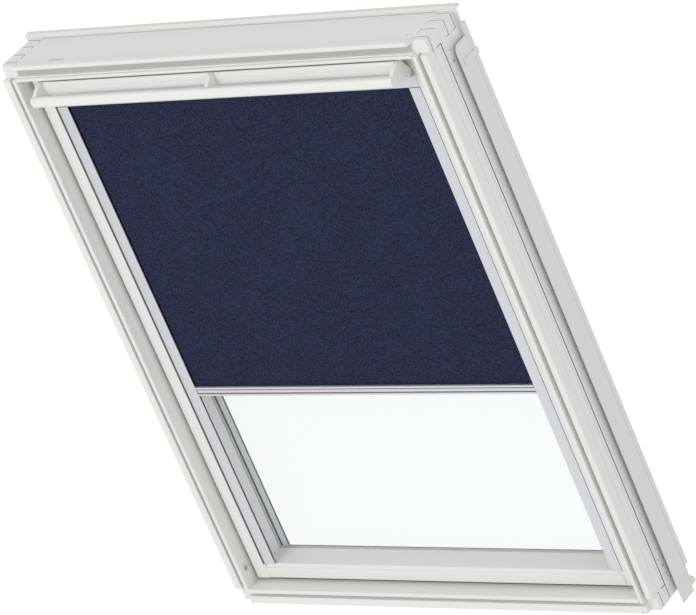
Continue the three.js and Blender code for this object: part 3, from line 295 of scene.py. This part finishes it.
@dataclass(frozen=True)
class ClothFinish:
    """Dense woven blackout cloth with a fine speckle in its threads.

    Attributes:
        name: Name of the material.
        screen: Colour of the ground as screen values.
        speckle: Colour of the lightest threads.
        edge: Colour of the painted shade along both sides, beside and under the channels.
        edge_at: Where that painted shade starts, in metres from the middle.
        thread_pitch: From thread to thread in metres.
        fine: Scale, detail and roughness of the noise in the speckle.
        broad: Scale and detail of the noise that makes wide, faint clouds.
        speckle_from: Fine noise at which the speckle starts.
        speckle_gain: How fast the colour follows the fine noise.
        cloud_gain: How far the colour follows the broad noise.
        bump: Strength and depth in metres of the weave.
        roughness: Roughness.
        specular: Strength of the plain reflection.
    """

    name: str
    screen: Colour
    speckle: Colour
    edge: Colour = (5, 6, 14)
    edge_at: float = 0.4475
    thread_pitch: float = 0.0011
    fine: tuple[float, float, float] = (300.0, 3.0, 0.7)
    broad: tuple[float, float] = (9.0, 2.0)
    speckle_from: float = 0.36
    speckle_gain: float = 3.2
    cloud_gain: float = 0.15
    bump: tuple[float, float] = (0.25, 0.0002)
    roughness: float = 0.85
    specular: float = 0.12

    def material(self) -> bpy.types.Material:
        """Builds the cloth.

        The threads are sin(2 pi x / pitch) * sin(2 pi z / pitch) in the bump. The colour goes
        from the ground to the speckle by
        clamp((fine - speckle_from) * speckle_gain + (broad - 0.5) * cloud_gain),
        and to the colour of the painted shade along the channels where abs(x) is more than
        edge_at.

        Returns:
            The material.
        """
        graph = Graph(self.name)
        place = graph.node("ShaderNodeTexCoord", output="Object")
        across = graph.node("ShaderNodeSeparateXYZ", inputs={0: place}, output="X")
        down = across.sibling("Z")
        turn = 2 * math.pi / self.thread_pitch
        scale, detail, roughness = self.fine
        fine = graph.node("ShaderNodeTexNoise", inputs={
            "Vector": place, "Scale": scale, "Detail": detail, "Roughness": roughness,
        })
        scale, detail = self.broad
        broad = graph.node("ShaderNodeTexNoise", inputs={
            "Vector": place, "Scale": scale, "Detail": detail,
        })
        speckled = (fine - self.speckle_from) * self.speckle_gain
        share = speckled.clamped_sum((broad - 0.5) * self.cloud_gain)
        colour = graph.mix(share, linear(*self.screen), linear(*self.speckle))
        # Painted shade: near-black along both sides, standing in for the channels' shadow on the
        # cloth.
        colour = graph.mix(across.size().beyond(self.edge_at), colour, linear(*self.edge))
        strength, depth = self.bump
        height = (across * turn).sine() * (down * turn).sine() + fine
        bump = graph.node("ShaderNodeBump", inputs={
            "Strength": strength, "Distance": depth, "Height": height,
        })
        return graph.finish(graph.node("ShaderNodeBsdfPrincipled", inputs={
            "Base Color": colour, "Roughness": self.roughness, "Normal": bump,
            "Specular IOR Level": self.specular,
        }))


@dataclass(frozen=True)
class GlassFinish:
    """Clear window glass with a slight cool cast.

    Attributes:
        name: Name of the material.
        tint: Colour of the cast as screen values.
        presence: Share of the light behind it that each face takes away.
        roughness: Roughness of its gloss.
    """

    name: str
    tint: Colour
    presence: float = 0.05
    roughness: float = 0.05

    def material(self) -> bpy.types.Material:
        """Builds the glass as a thin tinted film that shows what is behind it."""
        graph = Graph(self.name)
        return graph.finish(graph.node("ShaderNodeBsdfPrincipled", inputs={
            "Base Color": linear(*self.tint), "Roughness": self.roughness,
            "Alpha": self.presence,
        }))


@dataclass(frozen=True)
class Palette:
    """The finishes of this window.

    Most have the name of a material slot in the record. The three painted shades are for cut
    faces, where they stand in for the shade in seams, gaps and grooves, and pale_rubber is for the
    gasket around the glass.
    """

    white_lacquer: Finish = Finish("white_lacquer", (234, 234, 230), 0.32, grain=0.05)
    white_coat: Finish = Finish("white_coat", (235, 235, 231), 0.28, coat=0.2)
    pale_metal: Finish = Finish("pale_metal", (227, 227, 224), 0.38, specular=0.4)
    satin_aluminium: Finish = Finish("satin_aluminium", (205, 204, 210), 0.34, metallic=0.6)
    zinc: Finish = Finish("zinc", (180, 182, 184), 0.35, metallic=0.9)
    grey_rubber: Finish = Finish("grey_rubber", (72, 73, 74), 0.7)
    pale_rubber: Finish = Finish("pale_rubber", (196, 196, 192), 0.6)
    # Painted shade: a dark grey for the cut faces of the frame's seams, side lines and gaps,
    # standing in for the shade in these crevices.
    joint_shade: Finish = Finish("joint_shade", (104, 104, 100), 0.6)
    # Painted shade: a darker grey for the floors of the lining grooves and the flap's cut top,
    # standing in for the shade there.
    groove_shade: Finish = Finish("groove_shade", (186, 186, 182), 0.45)
    # Painted shade: a grey for the gaps beside the side channels and the lines in the bottom bar,
    # standing in for the shade in these slots.
    metal_shade: Finish = Finish("metal_shade", (146, 146, 154), 0.5)
    spacer_metal: Finish = Finish("spacer_metal", (212, 215, 216), 0.4, metallic=0.3)
    sealant: Finish = Finish("sealant", (50, 66, 72), 0.6)
    white_plastic: Finish = Finish("white_plastic", (226, 226, 221), 0.45)
    navy_cloth: ClothFinish = ClothFinish("navy_cloth", (18, 21, 41), (54, 59, 88))
    clear_glass: GlassFinish = GlassFinish("clear_glass", (60, 150, 168))


@dataclass(frozen=True)
class Cut:
    """A small prism that is taken out of a piece.

    Attributes:
        corners: Its eight corners, four of one end and then four of the other.
        finish: Finish of the cut faces, where it isn't the piece's own.
    """

    corners: np.ndarray
    finish: str | None = None


@dataclass
class Workshop:
    """Turns CAD nodes into dressed pieces and puts new surfaces into the scene.

    Attributes:
        palette: The finishes.
        smooth_degrees: Edges turn sharp beyond this angle.
        flat_degrees: Faces within this angle become one.
        weld: Points nearer than this many metres become one.
        bevel_segments: Steps in a rounded edge.
        normal_weight: How much the large faces set the shading.
        extra_finishes: Finishes that no material slot is named after.
        materials: The built finishes by name.
        body_of: Body of each CAD node.
        slot_of: Material slot of each CAD node.
    """

    palette: Palette = field(default_factory=Palette)
    smooth_degrees: float = 28.0
    flat_degrees: float = 0.5
    weld: float = 2e-6
    bevel_segments: int = 2
    normal_weight: int = 90
    extra_finishes: tuple[str, ...] = ("pale_rubber", "joint_shade", "metal_shade", "groove_shade")
    materials: dict[str, bpy.types.Material] = field(default_factory=dict)
    body_of: dict[str, str] = field(default_factory=dict)
    slot_of: dict[str, str] = field(default_factory=dict)

    def __post_init__(self) -> None:
        """Reads which body and which slot each node has, and builds the finishes."""
        record = frame["record"]
        for body, nodes in record["behaviour"]["bodies"].items():
            self.body_of.update({node: body for node in nodes})
        self.slot_of.update({s["node"]: s["material_slot"] for s in record["subparts"]})
        for slot in sorted({*self.slot_of.values(), *self.extra_finishes}):
            self.materials[slot] = getattr(self.palette, slot).material()

    def soften(self, piece: bpy.types.Object, edge: float) -> None:
        """Rounds a piece's sharp edges and smooths its slight ones.

        Args:
            piece: The mesh to finish.
            edge: Radius of its edges in millimetres.
        """
        if edge > 0:
            bevel = piece.modifiers.new("edge", "BEVEL")
            bevel.width = edge * MM
            bevel.segments = self.bevel_segments
            bevel.limit_method = "ANGLE"
            bevel.angle_limit = math.radians(self.smooth_degrees)
            bevel.use_clamp_overlap = True
        piece.data.polygons.foreach_set("use_smooth", [True] * len(piece.data.polygons))
        weighted = piece.modifiers.new("flat_faces", "WEIGHTED_NORMAL")
        weighted.keep_sharp = True
        weighted.weight = self.normal_weight

    @staticmethod
    def carve(mesh: bpy.types.Mesh, prisms: list[tuple[np.ndarray, int]]) -> bpy.types.Mesh:
        """Takes small prisms out of a mesh, one after the other.

        Args:
            mesh: The mesh to cut.
            prisms: The eight corners of each, with the number of the mesh's material that its
                cut faces take.

        Returns:
            The cut mesh.
        """
        scene = bpy.context.scene
        body = bpy.data.objects.new("carved", mesh)
        scene.collection.objects.link(body)
        tools = []
        sides = [(0, 1, 5, 4), (1, 2, 6, 5), (2, 3, 7, 6), (3, 0, 4, 7)]
        for corners, index in prisms:
            block = bpy.data.meshes.new("cutter")
            block.from_pydata(corners.tolist(), [], [(3, 2, 1, 0), (4, 5, 6, 7), *sides])
            for finish in mesh.materials:
                block.materials.append(finish)
            block.polygons.foreach_set("material_index", [index] * len(block.polygons))
            shape = bmesh.new()
            shape.from_mesh(block)
            bmesh.ops.recalc_face_normals(shape, faces=shape.faces)
            shape.to_mesh(block)
            shape.free()
            tool = bpy.data.objects.new("cutter", block)
            scene.collection.objects.link(tool)
            tools.append(tool)
            cut = body.modifiers.new("cut", "BOOLEAN")
            cut.operation = "DIFFERENCE"
            cut.solver = "EXACT"
            cut.material_mode = "INDEX"
            cut.object = tool
        seen = body.evaluated_get(bpy.context.evaluated_depsgraph_get())
        result = bpy.data.meshes.new_from_object(seen)
        for spent in (body, *tools):
            bpy.data.objects.remove(spent)
        return result

    def dress(
        self, node: str, edge: float, cuts: Sequence[Cut] = (), finish: str | None = None
    ) -> None:
        """Makes the finished form of a CAD node, in the node's place.

        Args:
            node: The CAD node's name.
            edge: Radius of its edges in millimetres.
            cuts: What is taken out of it.
            finish: Its own finish, where it isn't the one of its material slot.
        """
        own = finish or self.slot_of[node]
        finishes = list(dict.fromkeys([own, *(cut.finish or own for cut in cuts)]))
        mesh = frame["nodes"][node].data.copy()
        mesh.materials.clear()
        for name in finishes:
            mesh.materials.append(self.materials[name])
        mesh.polygons.foreach_set("material_index", [0] * len(mesh.polygons))
        if cuts:
            prisms = [(cut.corners, finishes.index(cut.finish or own)) for cut in cuts]
            mesh = self.carve(mesh, prisms)
        shape = bmesh.new()
        shape.from_mesh(mesh)
        bmesh.ops.remove_doubles(shape, verts=shape.verts, dist=self.weld)
        bmesh.ops.dissolve_limit(
            shape, angle_limit=math.radians(self.flat_degrees), verts=shape.verts,
            edges=shape.edges, delimit={"MATERIAL"},
        )
        for line in shape.edges:
            if len(line.link_faces) == 2:
                line.smooth = line.calc_face_angle() < math.radians(self.smooth_degrees)
        shape.to_mesh(mesh)
        shape.free()
        piece = bpy.data.objects.new(f"{node}_finished", mesh)
        bpy.context.scene.collection.objects.link(piece)
        self.soften(piece, edge)
        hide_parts(node)
        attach(piece, self.body_of[node])

    def surface(self, name: str, grid: np.ndarray, slot: str) -> bpy.types.Object:
        """Puts a grid of points into the scene as a surface of quads.

        Args:
            name: Name of the piece.
            grid: Points in metres, as rows by columns by three.
            slot: Material slot of the piece.

        Returns:
            The piece, not yet on a body.
        """
        rows, columns = grid.shape[:2]
        index = np.arange(rows * columns).reshape(rows, columns)
        left, right = index[:, :-1], index[:, 1:]
        quads = np.stack([left[:-1], right[:-1], right[1:], left[1:]], axis=-1).reshape(-1, 4)
        mesh = bpy.data.meshes.new(name)
        mesh.from_pydata(grid.reshape(-1, 3).tolist(), [], quads.tolist())
        mesh.polygons.foreach_set("use_smooth", np.ones(len(quads), bool))
        mesh.materials.append(self.materials[slot])
        mesh.update()
        piece = bpy.data.objects.new(name, mesh)
        bpy.context.scene.collection.objects.link(piece)
        return piece


@dataclass
class TimberFrame:
    """The finger-jointed outer frame with its flanges, side covers and fittings.

    All measures are in millimetres. An inset is counted from the frame's outer face, and a depth
    from its room-side face. The cut faces of the seams, lines and gaps take painted shade, and so
    do the floors of the lining grooves.

    Attributes:
        shop: The workshop that dresses the pieces.
        member_edge: Edge radius of members and flanges.
        sheet_edge: Edge radius of seals and fittings.
        cover_edge: Edge radius of side covers and clips.
        reach: How far a cut stands out of the face that it starts from.
        finger: Length of the fingers.
        seams: Depths of the finger seams.
        hooks: Length of the short turn at each seam's inner end.
        seam_width: Width of a seam.
        seam_floor: Inset of a seam's floor.
        lines: Start depth, end depth and floor inset of each line along the outer sides.
        slope: Section of what a front strip loses, as insets and depths.
        lip: Inset of both ends of the lower strip's slope.
        wall_line: Start depth, end depth, floor and mouth inset of the gap in the lower wall.
        back_line: Start depth, end depth and floor inset of the line at the top flange.
        groove: Insets of the two sides of a lining groove's floor.
        top_groove: The same of the top member.
        groove_floor: Depths of the slice that is taken off the floor.
        groove_ends: Insets at which the slice ends, at all corners and at the upper ones of the
            side members.
    """

    shop: Workshop
    member_edge: float = 0.35
    sheet_edge: float = 0.4
    cover_edge: float = 0.75
    reach: float = 5.0
    finger: float = 37.0
    seams: tuple[float, ...] = (27.8, 57.0, 88.8, 115.0)
    hooks: tuple[float, ...] = (6.0, 17.0, 8.0, 9.0)
    seam_width: float = 1.3
    seam_floor: float = 7.0
    lines: tuple[tuple[float, float, float], ...] = (
        (27.7, 28.0, 2.2), (45.9, 46.2, 2.4), (54.0, 56.4, 6.0),
    )
    slope: tuple[tuple[float, float], ...] = ((7.5, 0.0), (7.5, -1.0), (18.2, -1.0), (18.2, 3.5))
    lip: float = 26.0
    wall_line: tuple[float, float, float, float] = (44.5, 52.0, 33.5, 38.0)
    back_line: tuple[float, float, float] = (120.2, 123.0, 7.0)
    groove: tuple[float, float] = (17.4, 26.6)
    top_groove: tuple[float, float] = (9.7, 26.6)
    groove_floor: tuple[float, float] = (13.5, 14.3)
    groove_ends: tuple[float, float] = (38.5, 32.5)

    def seam_cuts(self, side: Side, at_top: bool) -> list[np.ndarray]:
        """The finger seams of one corner, seen from its side and from its end.

        Each seam is a straight slot with a short hook towards the room at its inner end.

        Args:
            side: Side of the corner.
            at_top: Whether it is an upper corner.

        Returns:
            Four prisms for each seam.
        """

        def along(inset: float) -> float:
            """Place along Z that far in from the corner's upper or lower end."""
            return DATUM.z(inset) if at_top else inset * MM

        out_x, out_z = DATUM.x(side, -self.reach), along(-self.reach)
        floor_x, floor_z = DATUM.x(side, self.seam_floor), along(self.seam_floor)
        end_x, end_z = DATUM.x(side, self.finger), along(self.finger)
        hook_start = self.finger - self.seam_width
        hook_x, hook_z = DATUM.x(side, hook_start), along(hook_start)
        cuts = []
        for depth, hook in zip(self.seams, self.hooks):
            front, back = (DATUM.y(depth + sign * self.seam_width / 2) for sign in (-1, 1))
            turn = DATUM.y(depth - hook)
            cuts += [
                slab((out_x, front, out_z), (floor_x, back, end_z)),
                slab((out_x, turn, hook_z), (floor_x, front, end_z)),
                slab((out_x, front, out_z), (end_x, back, floor_z)),
                slab((hook_x, turn, out_z), (end_x, front, floor_z)),
            ]
        return cuts

    def line_cuts(self, side: Side) -> list[np.ndarray]:
        """The lines along an outer side face, from its lower end to the upper fingers."""
        return [
            slab(
                (DATUM.x(side, -self.reach), DATUM.y(start), -self.reach * MM),
                (DATUM.x(side, floor), DATUM.y(end), DATUM.z(self.finger)),
            )
            for start, end, floor in self.lines
        ]

    def gap_cuts(self, node: str) -> list[np.ndarray]:
        """The gap in the lower member's inner wall, or the line at the top flange; their faces
        take painted shade.
        """
        if node == "frame_bottom":
            front, back, floor, mouth = self.wall_line
            wide = (DATUM.half_width - mouth) * MM
            low, high = floor * MM, mouth * MM
        elif node == "frame_top":
            front, back, floor = self.back_line
            wide = (DATUM.half_width + self.reach) * MM
            low, high = DATUM.z(floor), DATUM.z(-self.reach)
        else:
            return []
        return [slab((-wide, DATUM.y(front), low), (wide, DATUM.y(back), high))]

    def side_slope(self, side: Side) -> np.ndarray:
        """The slope on the front strip of a side member, over its whole height."""
        return np.array([
            (DATUM.x(side, inset), DATUM.y(depth), z)
            for z in (-self.reach * MM, DATUM.z(-self.reach))
            for inset, depth in self.slope
        ])

    def lower_slope(self) -> np.ndarray:
        """The slope on the front strip along the lower edge, from lip to lip."""
        wide = (DATUM.half_width - self.lip) * MM
        return np.array([
            (x, DATUM.y(depth), inset * MM) for x in (-wide, wide) for inset, depth in self.slope
        ])

    def groove_cut(self, node: str, sides: list[Side]) -> np.ndarray:
        """A thin slice off the floor of a member's lining groove; the new floor takes painted
        shade.
        """
        front, back = (DATUM.y(depth) for depth in self.groove_floor)
        near, far = self.top_groove if node == "frame_top" else self.groove
        end, upper_end = self.groove_ends
        if len(sides) == 1:
            return slab(
                (DATUM.x(sides[0], near), front, end * MM),
                (DATUM.x(sides[0], far), back, DATUM.z(upper_end)),
            )
        wide = (DATUM.half_width - end) * MM
        low, high = near * MM, far * MM
        if node == "frame_top":
            low, high = DATUM.z(far), DATUM.z(near)
        return slab((-wide, front, low), (wide, back, high))

    def member(self, node: str, corners: list[tuple[Side, bool]]) -> None:
        """Dresses one member of the frame.

        Args:
            node: The member.
            corners: The corners that it reaches, each as its side and whether it is an upper one.
        """
        sides = list(dict.fromkeys(side for side, _ in corners))
        slopes = [] if node == "frame_top" else [self.lower_slope()]
        if len(sides) == 1:
            slopes.append(self.side_slope(sides[0]))
        # The faces of these cuts take painted shade, a dark grey standing in for the shade in the
        # seams, lines and gaps.
        dark = [
            *(cut for corner in corners for cut in self.seam_cuts(*corner)),
            *(cut for side in sides for cut in self.line_cuts(side)),
            *self.gap_cuts(node),
        ]
        self.shop.dress(node, self.member_edge, [
            *(Cut(prism) for prism in slopes),
            *(Cut(prism, "joint_shade") for prism in dark),
            # The groove's new floor takes painted shade, darker than the lacquer, standing in for
            # the shade in the groove.
            Cut(self.groove_cut(node, sides), "groove_shade"),
        ])

    def build(self) -> None:
        """Dresses the frame's pieces."""
        self.member("frame_top", [(side, True) for side in Side])
        self.member("frame_bottom", [(side, False) for side in Side])
        for side in Side:
            self.member(f"frame_{side.name.lower()}", [(side, True), (side, False)])
        for node in ("flange_top", "flange_bottom", "flange_left", "flange_right"):
            self.shop.dress(node, self.member_edge)
        for node in ("side_cover_left", "side_cover_right", "cover_clip_left", "cover_clip_right"):
            self.shop.dress(node, self.cover_edge)
        for node in (
            "frame_seal_lower", "frame_seal_upper", "bolt_bush_upper", "bolt_bush_lower",
            "frame_hinge_left", "frame_hinge_right", "lock_strike",
        ):
            self.shop.dress(node, self.sheet_edge)
        LOG.info("timber frame: members, flanges, covers, seals and fittings")


@dataclass
class Sash:
    """The turning sash with its glass, weather covers and fittings.

    All measures are in millimetres, counted as in the frame.

    Attributes:
        shop: The workshop that dresses the pieces.
        member_edge: Edge radius of the members.
        sheet_edge: Edge radius of covers and fittings.
        rebate_insets: Insets of the gap beside each channel, whose faces take painted shade.
        rebate_depths: Its depths.
        rebate_drops: Its lower and upper end, below the top edge.
    """

    shop: Workshop
    member_edge: float = 0.9
    sheet_edge: float = 0.4
    rebate_insets: tuple[float, float] = (76.2, 80.0)
    rebate_depths: tuple[float, float] = (33.0, 42.0)
    rebate_drops: tuple[float, float] = (1292.0, 82.0)

    def rebate(self, side: Side) -> np.ndarray:
        """The gap beside one side channel, whose faces take painted shade."""
        first, second = zip(self.rebate_insets, self.rebate_depths, self.rebate_drops)
        return slab(
            (DATUM.x(side, first[0]), DATUM.y(first[1]), DATUM.z(first[2])),
            (DATUM.x(side, second[0]), DATUM.y(second[1]), DATUM.z(second[2])),
        )

    def build(self) -> None:
        """Dresses the sash's pieces."""
        for node in ("sash_top", "sash_bottom"):
            self.shop.dress(node, self.member_edge)
        for side in Side:
            # The gap's faces take painted shade, standing in for the shade beside the channel.
            cut = Cut(self.rebate(side), "metal_shade")
            self.shop.dress(f"sash_{side.name.lower()}", self.member_edge, [cut])
        for node in (
            "sash_cover_top", "sash_cover_bottom", "sash_cover_left", "sash_cover_right",
            "sash_hinge_left", "sash_hinge_right", "barrel_bolt", "lock_case", "latch",
        ):
            self.shop.dress(node, self.sheet_edge)
        self.shop.dress("glazing_gasket", self.sheet_edge, finish="pale_rubber")
        for node in ("inner_pane", "outer_pane", "glass_spacer", "edge_sealant"):
            self.shop.dress(node, 0.0)
        LOG.info("sash: members, glass, covers and fittings")


@dataclass
class ControlBar:
    """The ventilation flap with the handle bar in front of it.

    Attributes:
        shop: The workshop that dresses the pieces.
        edge: Edge radius in millimetres.
        flap_top: How far below the frame's top edge the flap's upper face is cut, in millimetres.
        margin: How far that cut stands out of the flap, in millimetres.
    """

    shop: Workshop
    edge: float = 0.7
    flap_top: float = 44.6
    margin: float = 1.0

    def build(self) -> None:
        """Dresses the flap, the bar and its brackets."""
        low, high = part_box("vent_flap")
        out = self.margin * MM
        top = slab(
            (low.x - out, low.y - out, DATUM.z(self.flap_top)),
            (high.x + out, high.y, high.z + out),
        )
        # The flap's new top face takes painted shade, standing in for the dark gap below the
        # frame's lip.
        self.shop.dress("vent_flap", self.edge, [Cut(top, "groove_shade")])
        for node in (
            "handle_bar", "bar_bracket_left", "bar_bracket_middle",
            "bar_bracket_right", "flap_pin", "flap_lug_1", "flap_lug_2", "flap_lug_3",
        ):
            self.shop.dress(node, self.edge)
        LOG.info("control bar: flap, bar, brackets and hinge")


@dataclass
class RollerBlind:
    """The blind: headbox, roller, side channels, cloth and bottom bar.

    Attributes:
        shop: The workshop that dresses the pieces.
        edge: Edge radius in millimetres.
        cloth_rows: Points down the cloth.
        cloth_columns: Points across the cloth.
        bar_lines: Lower and upper end of each line in the bar, in millimetres from its middle.
        bar_line_depth: Depth of these lines in millimetres.
    """

    shop: Workshop
    edge: float = 0.5
    cloth_rows: int = 60
    cloth_columns: int = 48
    bar_lines: tuple[tuple[float, float], ...] = ((4.2, 5.8), (-6.2, -3.0))
    bar_line_depth: float = 3.0

    def build(self) -> None:
        """Dresses the metal pieces and makes the cloth."""
        for node in (
            "headbox", "headbox_end_left", "headbox_end_right", "roller_tube", "fabric_roll",
            "roller_plug_left", "roller_plug_right", "side_channel_left", "side_channel_right",
            "end_glide_left", "end_glide_right",
        ):
            self.shop.dress(node, self.edge)
        low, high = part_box("bottom_bar")
        middle = (low.z + high.z) / 2
        deep = self.bar_line_depth * MM
        # The lines' faces take painted shade, standing in for the shade along the edges of the
        # bar's trough.
        self.shop.dress("bottom_bar", self.edge, [
            Cut(slab(
                (low.x - deep, low.y - deep, middle + start * MM),
                (high.x + deep, low.y + deep, middle + end * MM),
            ), "metal_shade")
            for start, end in self.bar_lines
        ])
        self.cloth()
        LOG.info("roller blind: headbox, roller, channels, cloth and bar")

    def cloth(self) -> None:
        """Makes the cloth.

        The sheet is the grid x = low + across * width, z = high - down * length at the node's
        middle depth, thickened to the node's depth.
        """
        low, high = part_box("blind_fabric")
        across, down = np.meshgrid(
            np.linspace(0.0, 1.0, self.cloth_columns), np.linspace(0.0, 1.0, self.cloth_rows),
        )
        middle = (low.y + high.y) / 2
        grid = np.stack([
            low.x + across * (high.x - low.x),
            np.full_like(across, middle),
            high.z - down * (high.z - low.z),
        ], axis=-1)
        piece = self.shop.surface("blind_cloth", grid, "navy_cloth")
        solid = piece.modifiers.new("thickness", "SOLIDIFY")
        solid.thickness = high.y - low.y
        solid.offset = 0.0
        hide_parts("blind_fabric")
        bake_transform(piece)


@dataclass(frozen=True)
class Lamp:
    """A square soft lamp.

    Attributes:
        name: Its name.
        place: Its place in metres.
        size: Its side in metres.
        power: Its power in watts.
    """

    name: str
    place: Corner
    size: float
    power: float


@dataclass
class Studio:
    """Camera, lamps, floor and white surroundings.

    Attributes:
        lens: The camera's focal length in millimetres.
        sensor: Width of its sensor in millimetres.
        far: How far it sees, in metres.
        place: Its place in metres, worked out from the photograph.
        right: Direction of the picture's right side.
        up: Direction of the picture's upper side.
        back: Direction from the window to the camera.
        lamps: The lamps.
        aim: The point that the lamps face, which is the middle of the window.
        fill: Strength of the surroundings' light on plain surfaces.
        floor_drop: How far below the origin the floor lies, in metres.
        floor_size: Side of the floor in metres.
        floor_tone: Share of the light that the floor throws back.
        floor_lift: Strength of the floor's own light in the camera.
    """

    lens: float = 260.70
    sensor: float = 36.0
    far: float = 100.0
    place: Corner = (6.5426, -6.74825, 5.1439)
    right: Corner = (0.7783, 0.5139, -0.3608)
    up: Corner = (0.0159, 0.5582, 0.8295)
    back: Corner = (0.6277, -0.6513, 0.4263)
    lamps: tuple[Lamp, ...] = (
        Lamp("front_lamp", (-1.5, -5.0, 3.0), 3.0, 98.0),
        Lamp("side_lamp", (4.5, -1.5, 2.5), 2.5, 34.0),
    )
    aim: Corner = (0.0, 0.0, 0.687)
    fill: float = 0.66
    floor_drop: float = 1.6
    floor_size: float = 30.0
    floor_tone: float = 0.9
    floor_lift: float = 0.46

    def camera(self) -> None:
        """Stands the camera where the photograph was taken."""
        data = bpy.data.cameras.new("camera")
        data.lens = self.lens
        data.sensor_width = self.sensor
        data.clip_end = self.far
        made = bpy.data.objects.new("camera", data)
        bpy.context.scene.collection.objects.link(made)
        turn = Matrix((self.right, self.up, self.back)).transposed()
        made.matrix_world = Matrix.Translation(self.place) @ turn.to_4x4()
        bpy.context.scene.camera = made

    def light(self, lamp: Lamp) -> None:
        """Puts a lamp into the scene, facing the middle of the window."""
        data = bpy.data.lights.new(lamp.name, "AREA")
        data.size = lamp.size
        data.energy = lamp.power
        made = bpy.data.objects.new(lamp.name, data)
        bpy.context.scene.collection.objects.link(made)
        made.location = lamp.place
        aim = Vector(self.aim) - Vector(lamp.place)
        made.rotation_mode = "QUATERNION"
        made.rotation_quaternion = aim.to_track_quat("-Z", "Y")

    def world(self) -> None:
        """Fills the surroundings with plain light that the camera, gloss and glass see as white.

        Strength is fill + (1 - fill) * seen, where seen is one for camera, glossy and
        transmission rays.
        """
        world = bpy.data.worlds.new("surroundings")
        world.use_nodes = True
        tree = world.node_tree
        path = tree.nodes.new("ShaderNodeLightPath")
        seen = path.outputs["Is Camera Ray"]
        for ray in ("Is Glossy Ray", "Is Transmission Ray"):
            either = tree.nodes.new("ShaderNodeMath")
            either.operation = "MAXIMUM"
            tree.links.new(seen, either.inputs[0])
            tree.links.new(path.outputs[ray], either.inputs[1])
            seen = either.outputs[0]
        strength = tree.nodes.new("ShaderNodeMath")
        strength.operation = "MULTIPLY_ADD"
        tree.links.new(seen, strength.inputs[0])
        strength.inputs[1].default_value = 1.0 - self.fill
        strength.inputs[2].default_value = self.fill
        back = tree.nodes["Background"]
        back.inputs["Color"].default_value = (1.0, 1.0, 1.0, 1.0)
        tree.links.new(strength.outputs[0], back.inputs["Strength"])
        bpy.context.scene.world = world

    def floor(self) -> None:
        """Lays a wide pale floor well below the window, white to the camera but for its shadow.

        The floor's own light is floor_lift * seen on top of its plain pale surface, where seen is
        one for camera, glossy and transmission rays, so that its shadow still shows.
        """
        graph = Graph("floor")
        tone = (self.floor_tone, self.floor_tone, self.floor_tone, 1.0)
        plain = graph.node("ShaderNodeBsdfDiffuse", inputs={"Color": tone})
        direct = graph.node("ShaderNodeLightPath", output="Is Camera Ray")
        glossy = direct.sibling("Is Glossy Ray")
        seen = (direct + glossy).clamped_sum(direct.sibling("Is Transmission Ray"))
        bright = graph.node("ShaderNodeEmission", inputs={
            "Color": (1.0, 1.0, 1.0, 1.0), "Strength": seen * self.floor_lift,
        })
        mixed = graph.node("ShaderNodeAddShader", inputs={0: plain, 1: bright})
        half = self.floor_size / 2
        corners = [(-half, -half), (half, -half), (half, half), (-half, half)]
        mesh = bpy.data.meshes.new("floor")
        mesh.from_pydata([(x, y, -self.floor_drop) for x, y in corners], [], [(0, 1, 2, 3)])
        mesh.materials.append(graph.finish(mixed))
        made = bpy.data.objects.new("floor", mesh)
        bpy.context.scene.collection.objects.link(made)

    def build(self) -> None:
        """Sets up the whole studio."""
        self.camera()
        for lamp in self.lamps:
            self.light(lamp)
        self.world()
        self.floor()
        bpy.context.scene.view_settings.view_transform = "Standard"
        LOG.info("studio: camera, lamps, surroundings and floor")


def main() -> None:
    """Builds the studio and the sub-assemblies in order."""
    logging.basicConfig(level=logging.INFO, format="%(message)s")
    Studio().build()
    shop = Workshop()
    TimberFrame(shop).build()
    Sash(shop).build()
    ControlBar(shop).build()
    RollerBlind(shop).build()


if __name__ == "__main__":
    main()
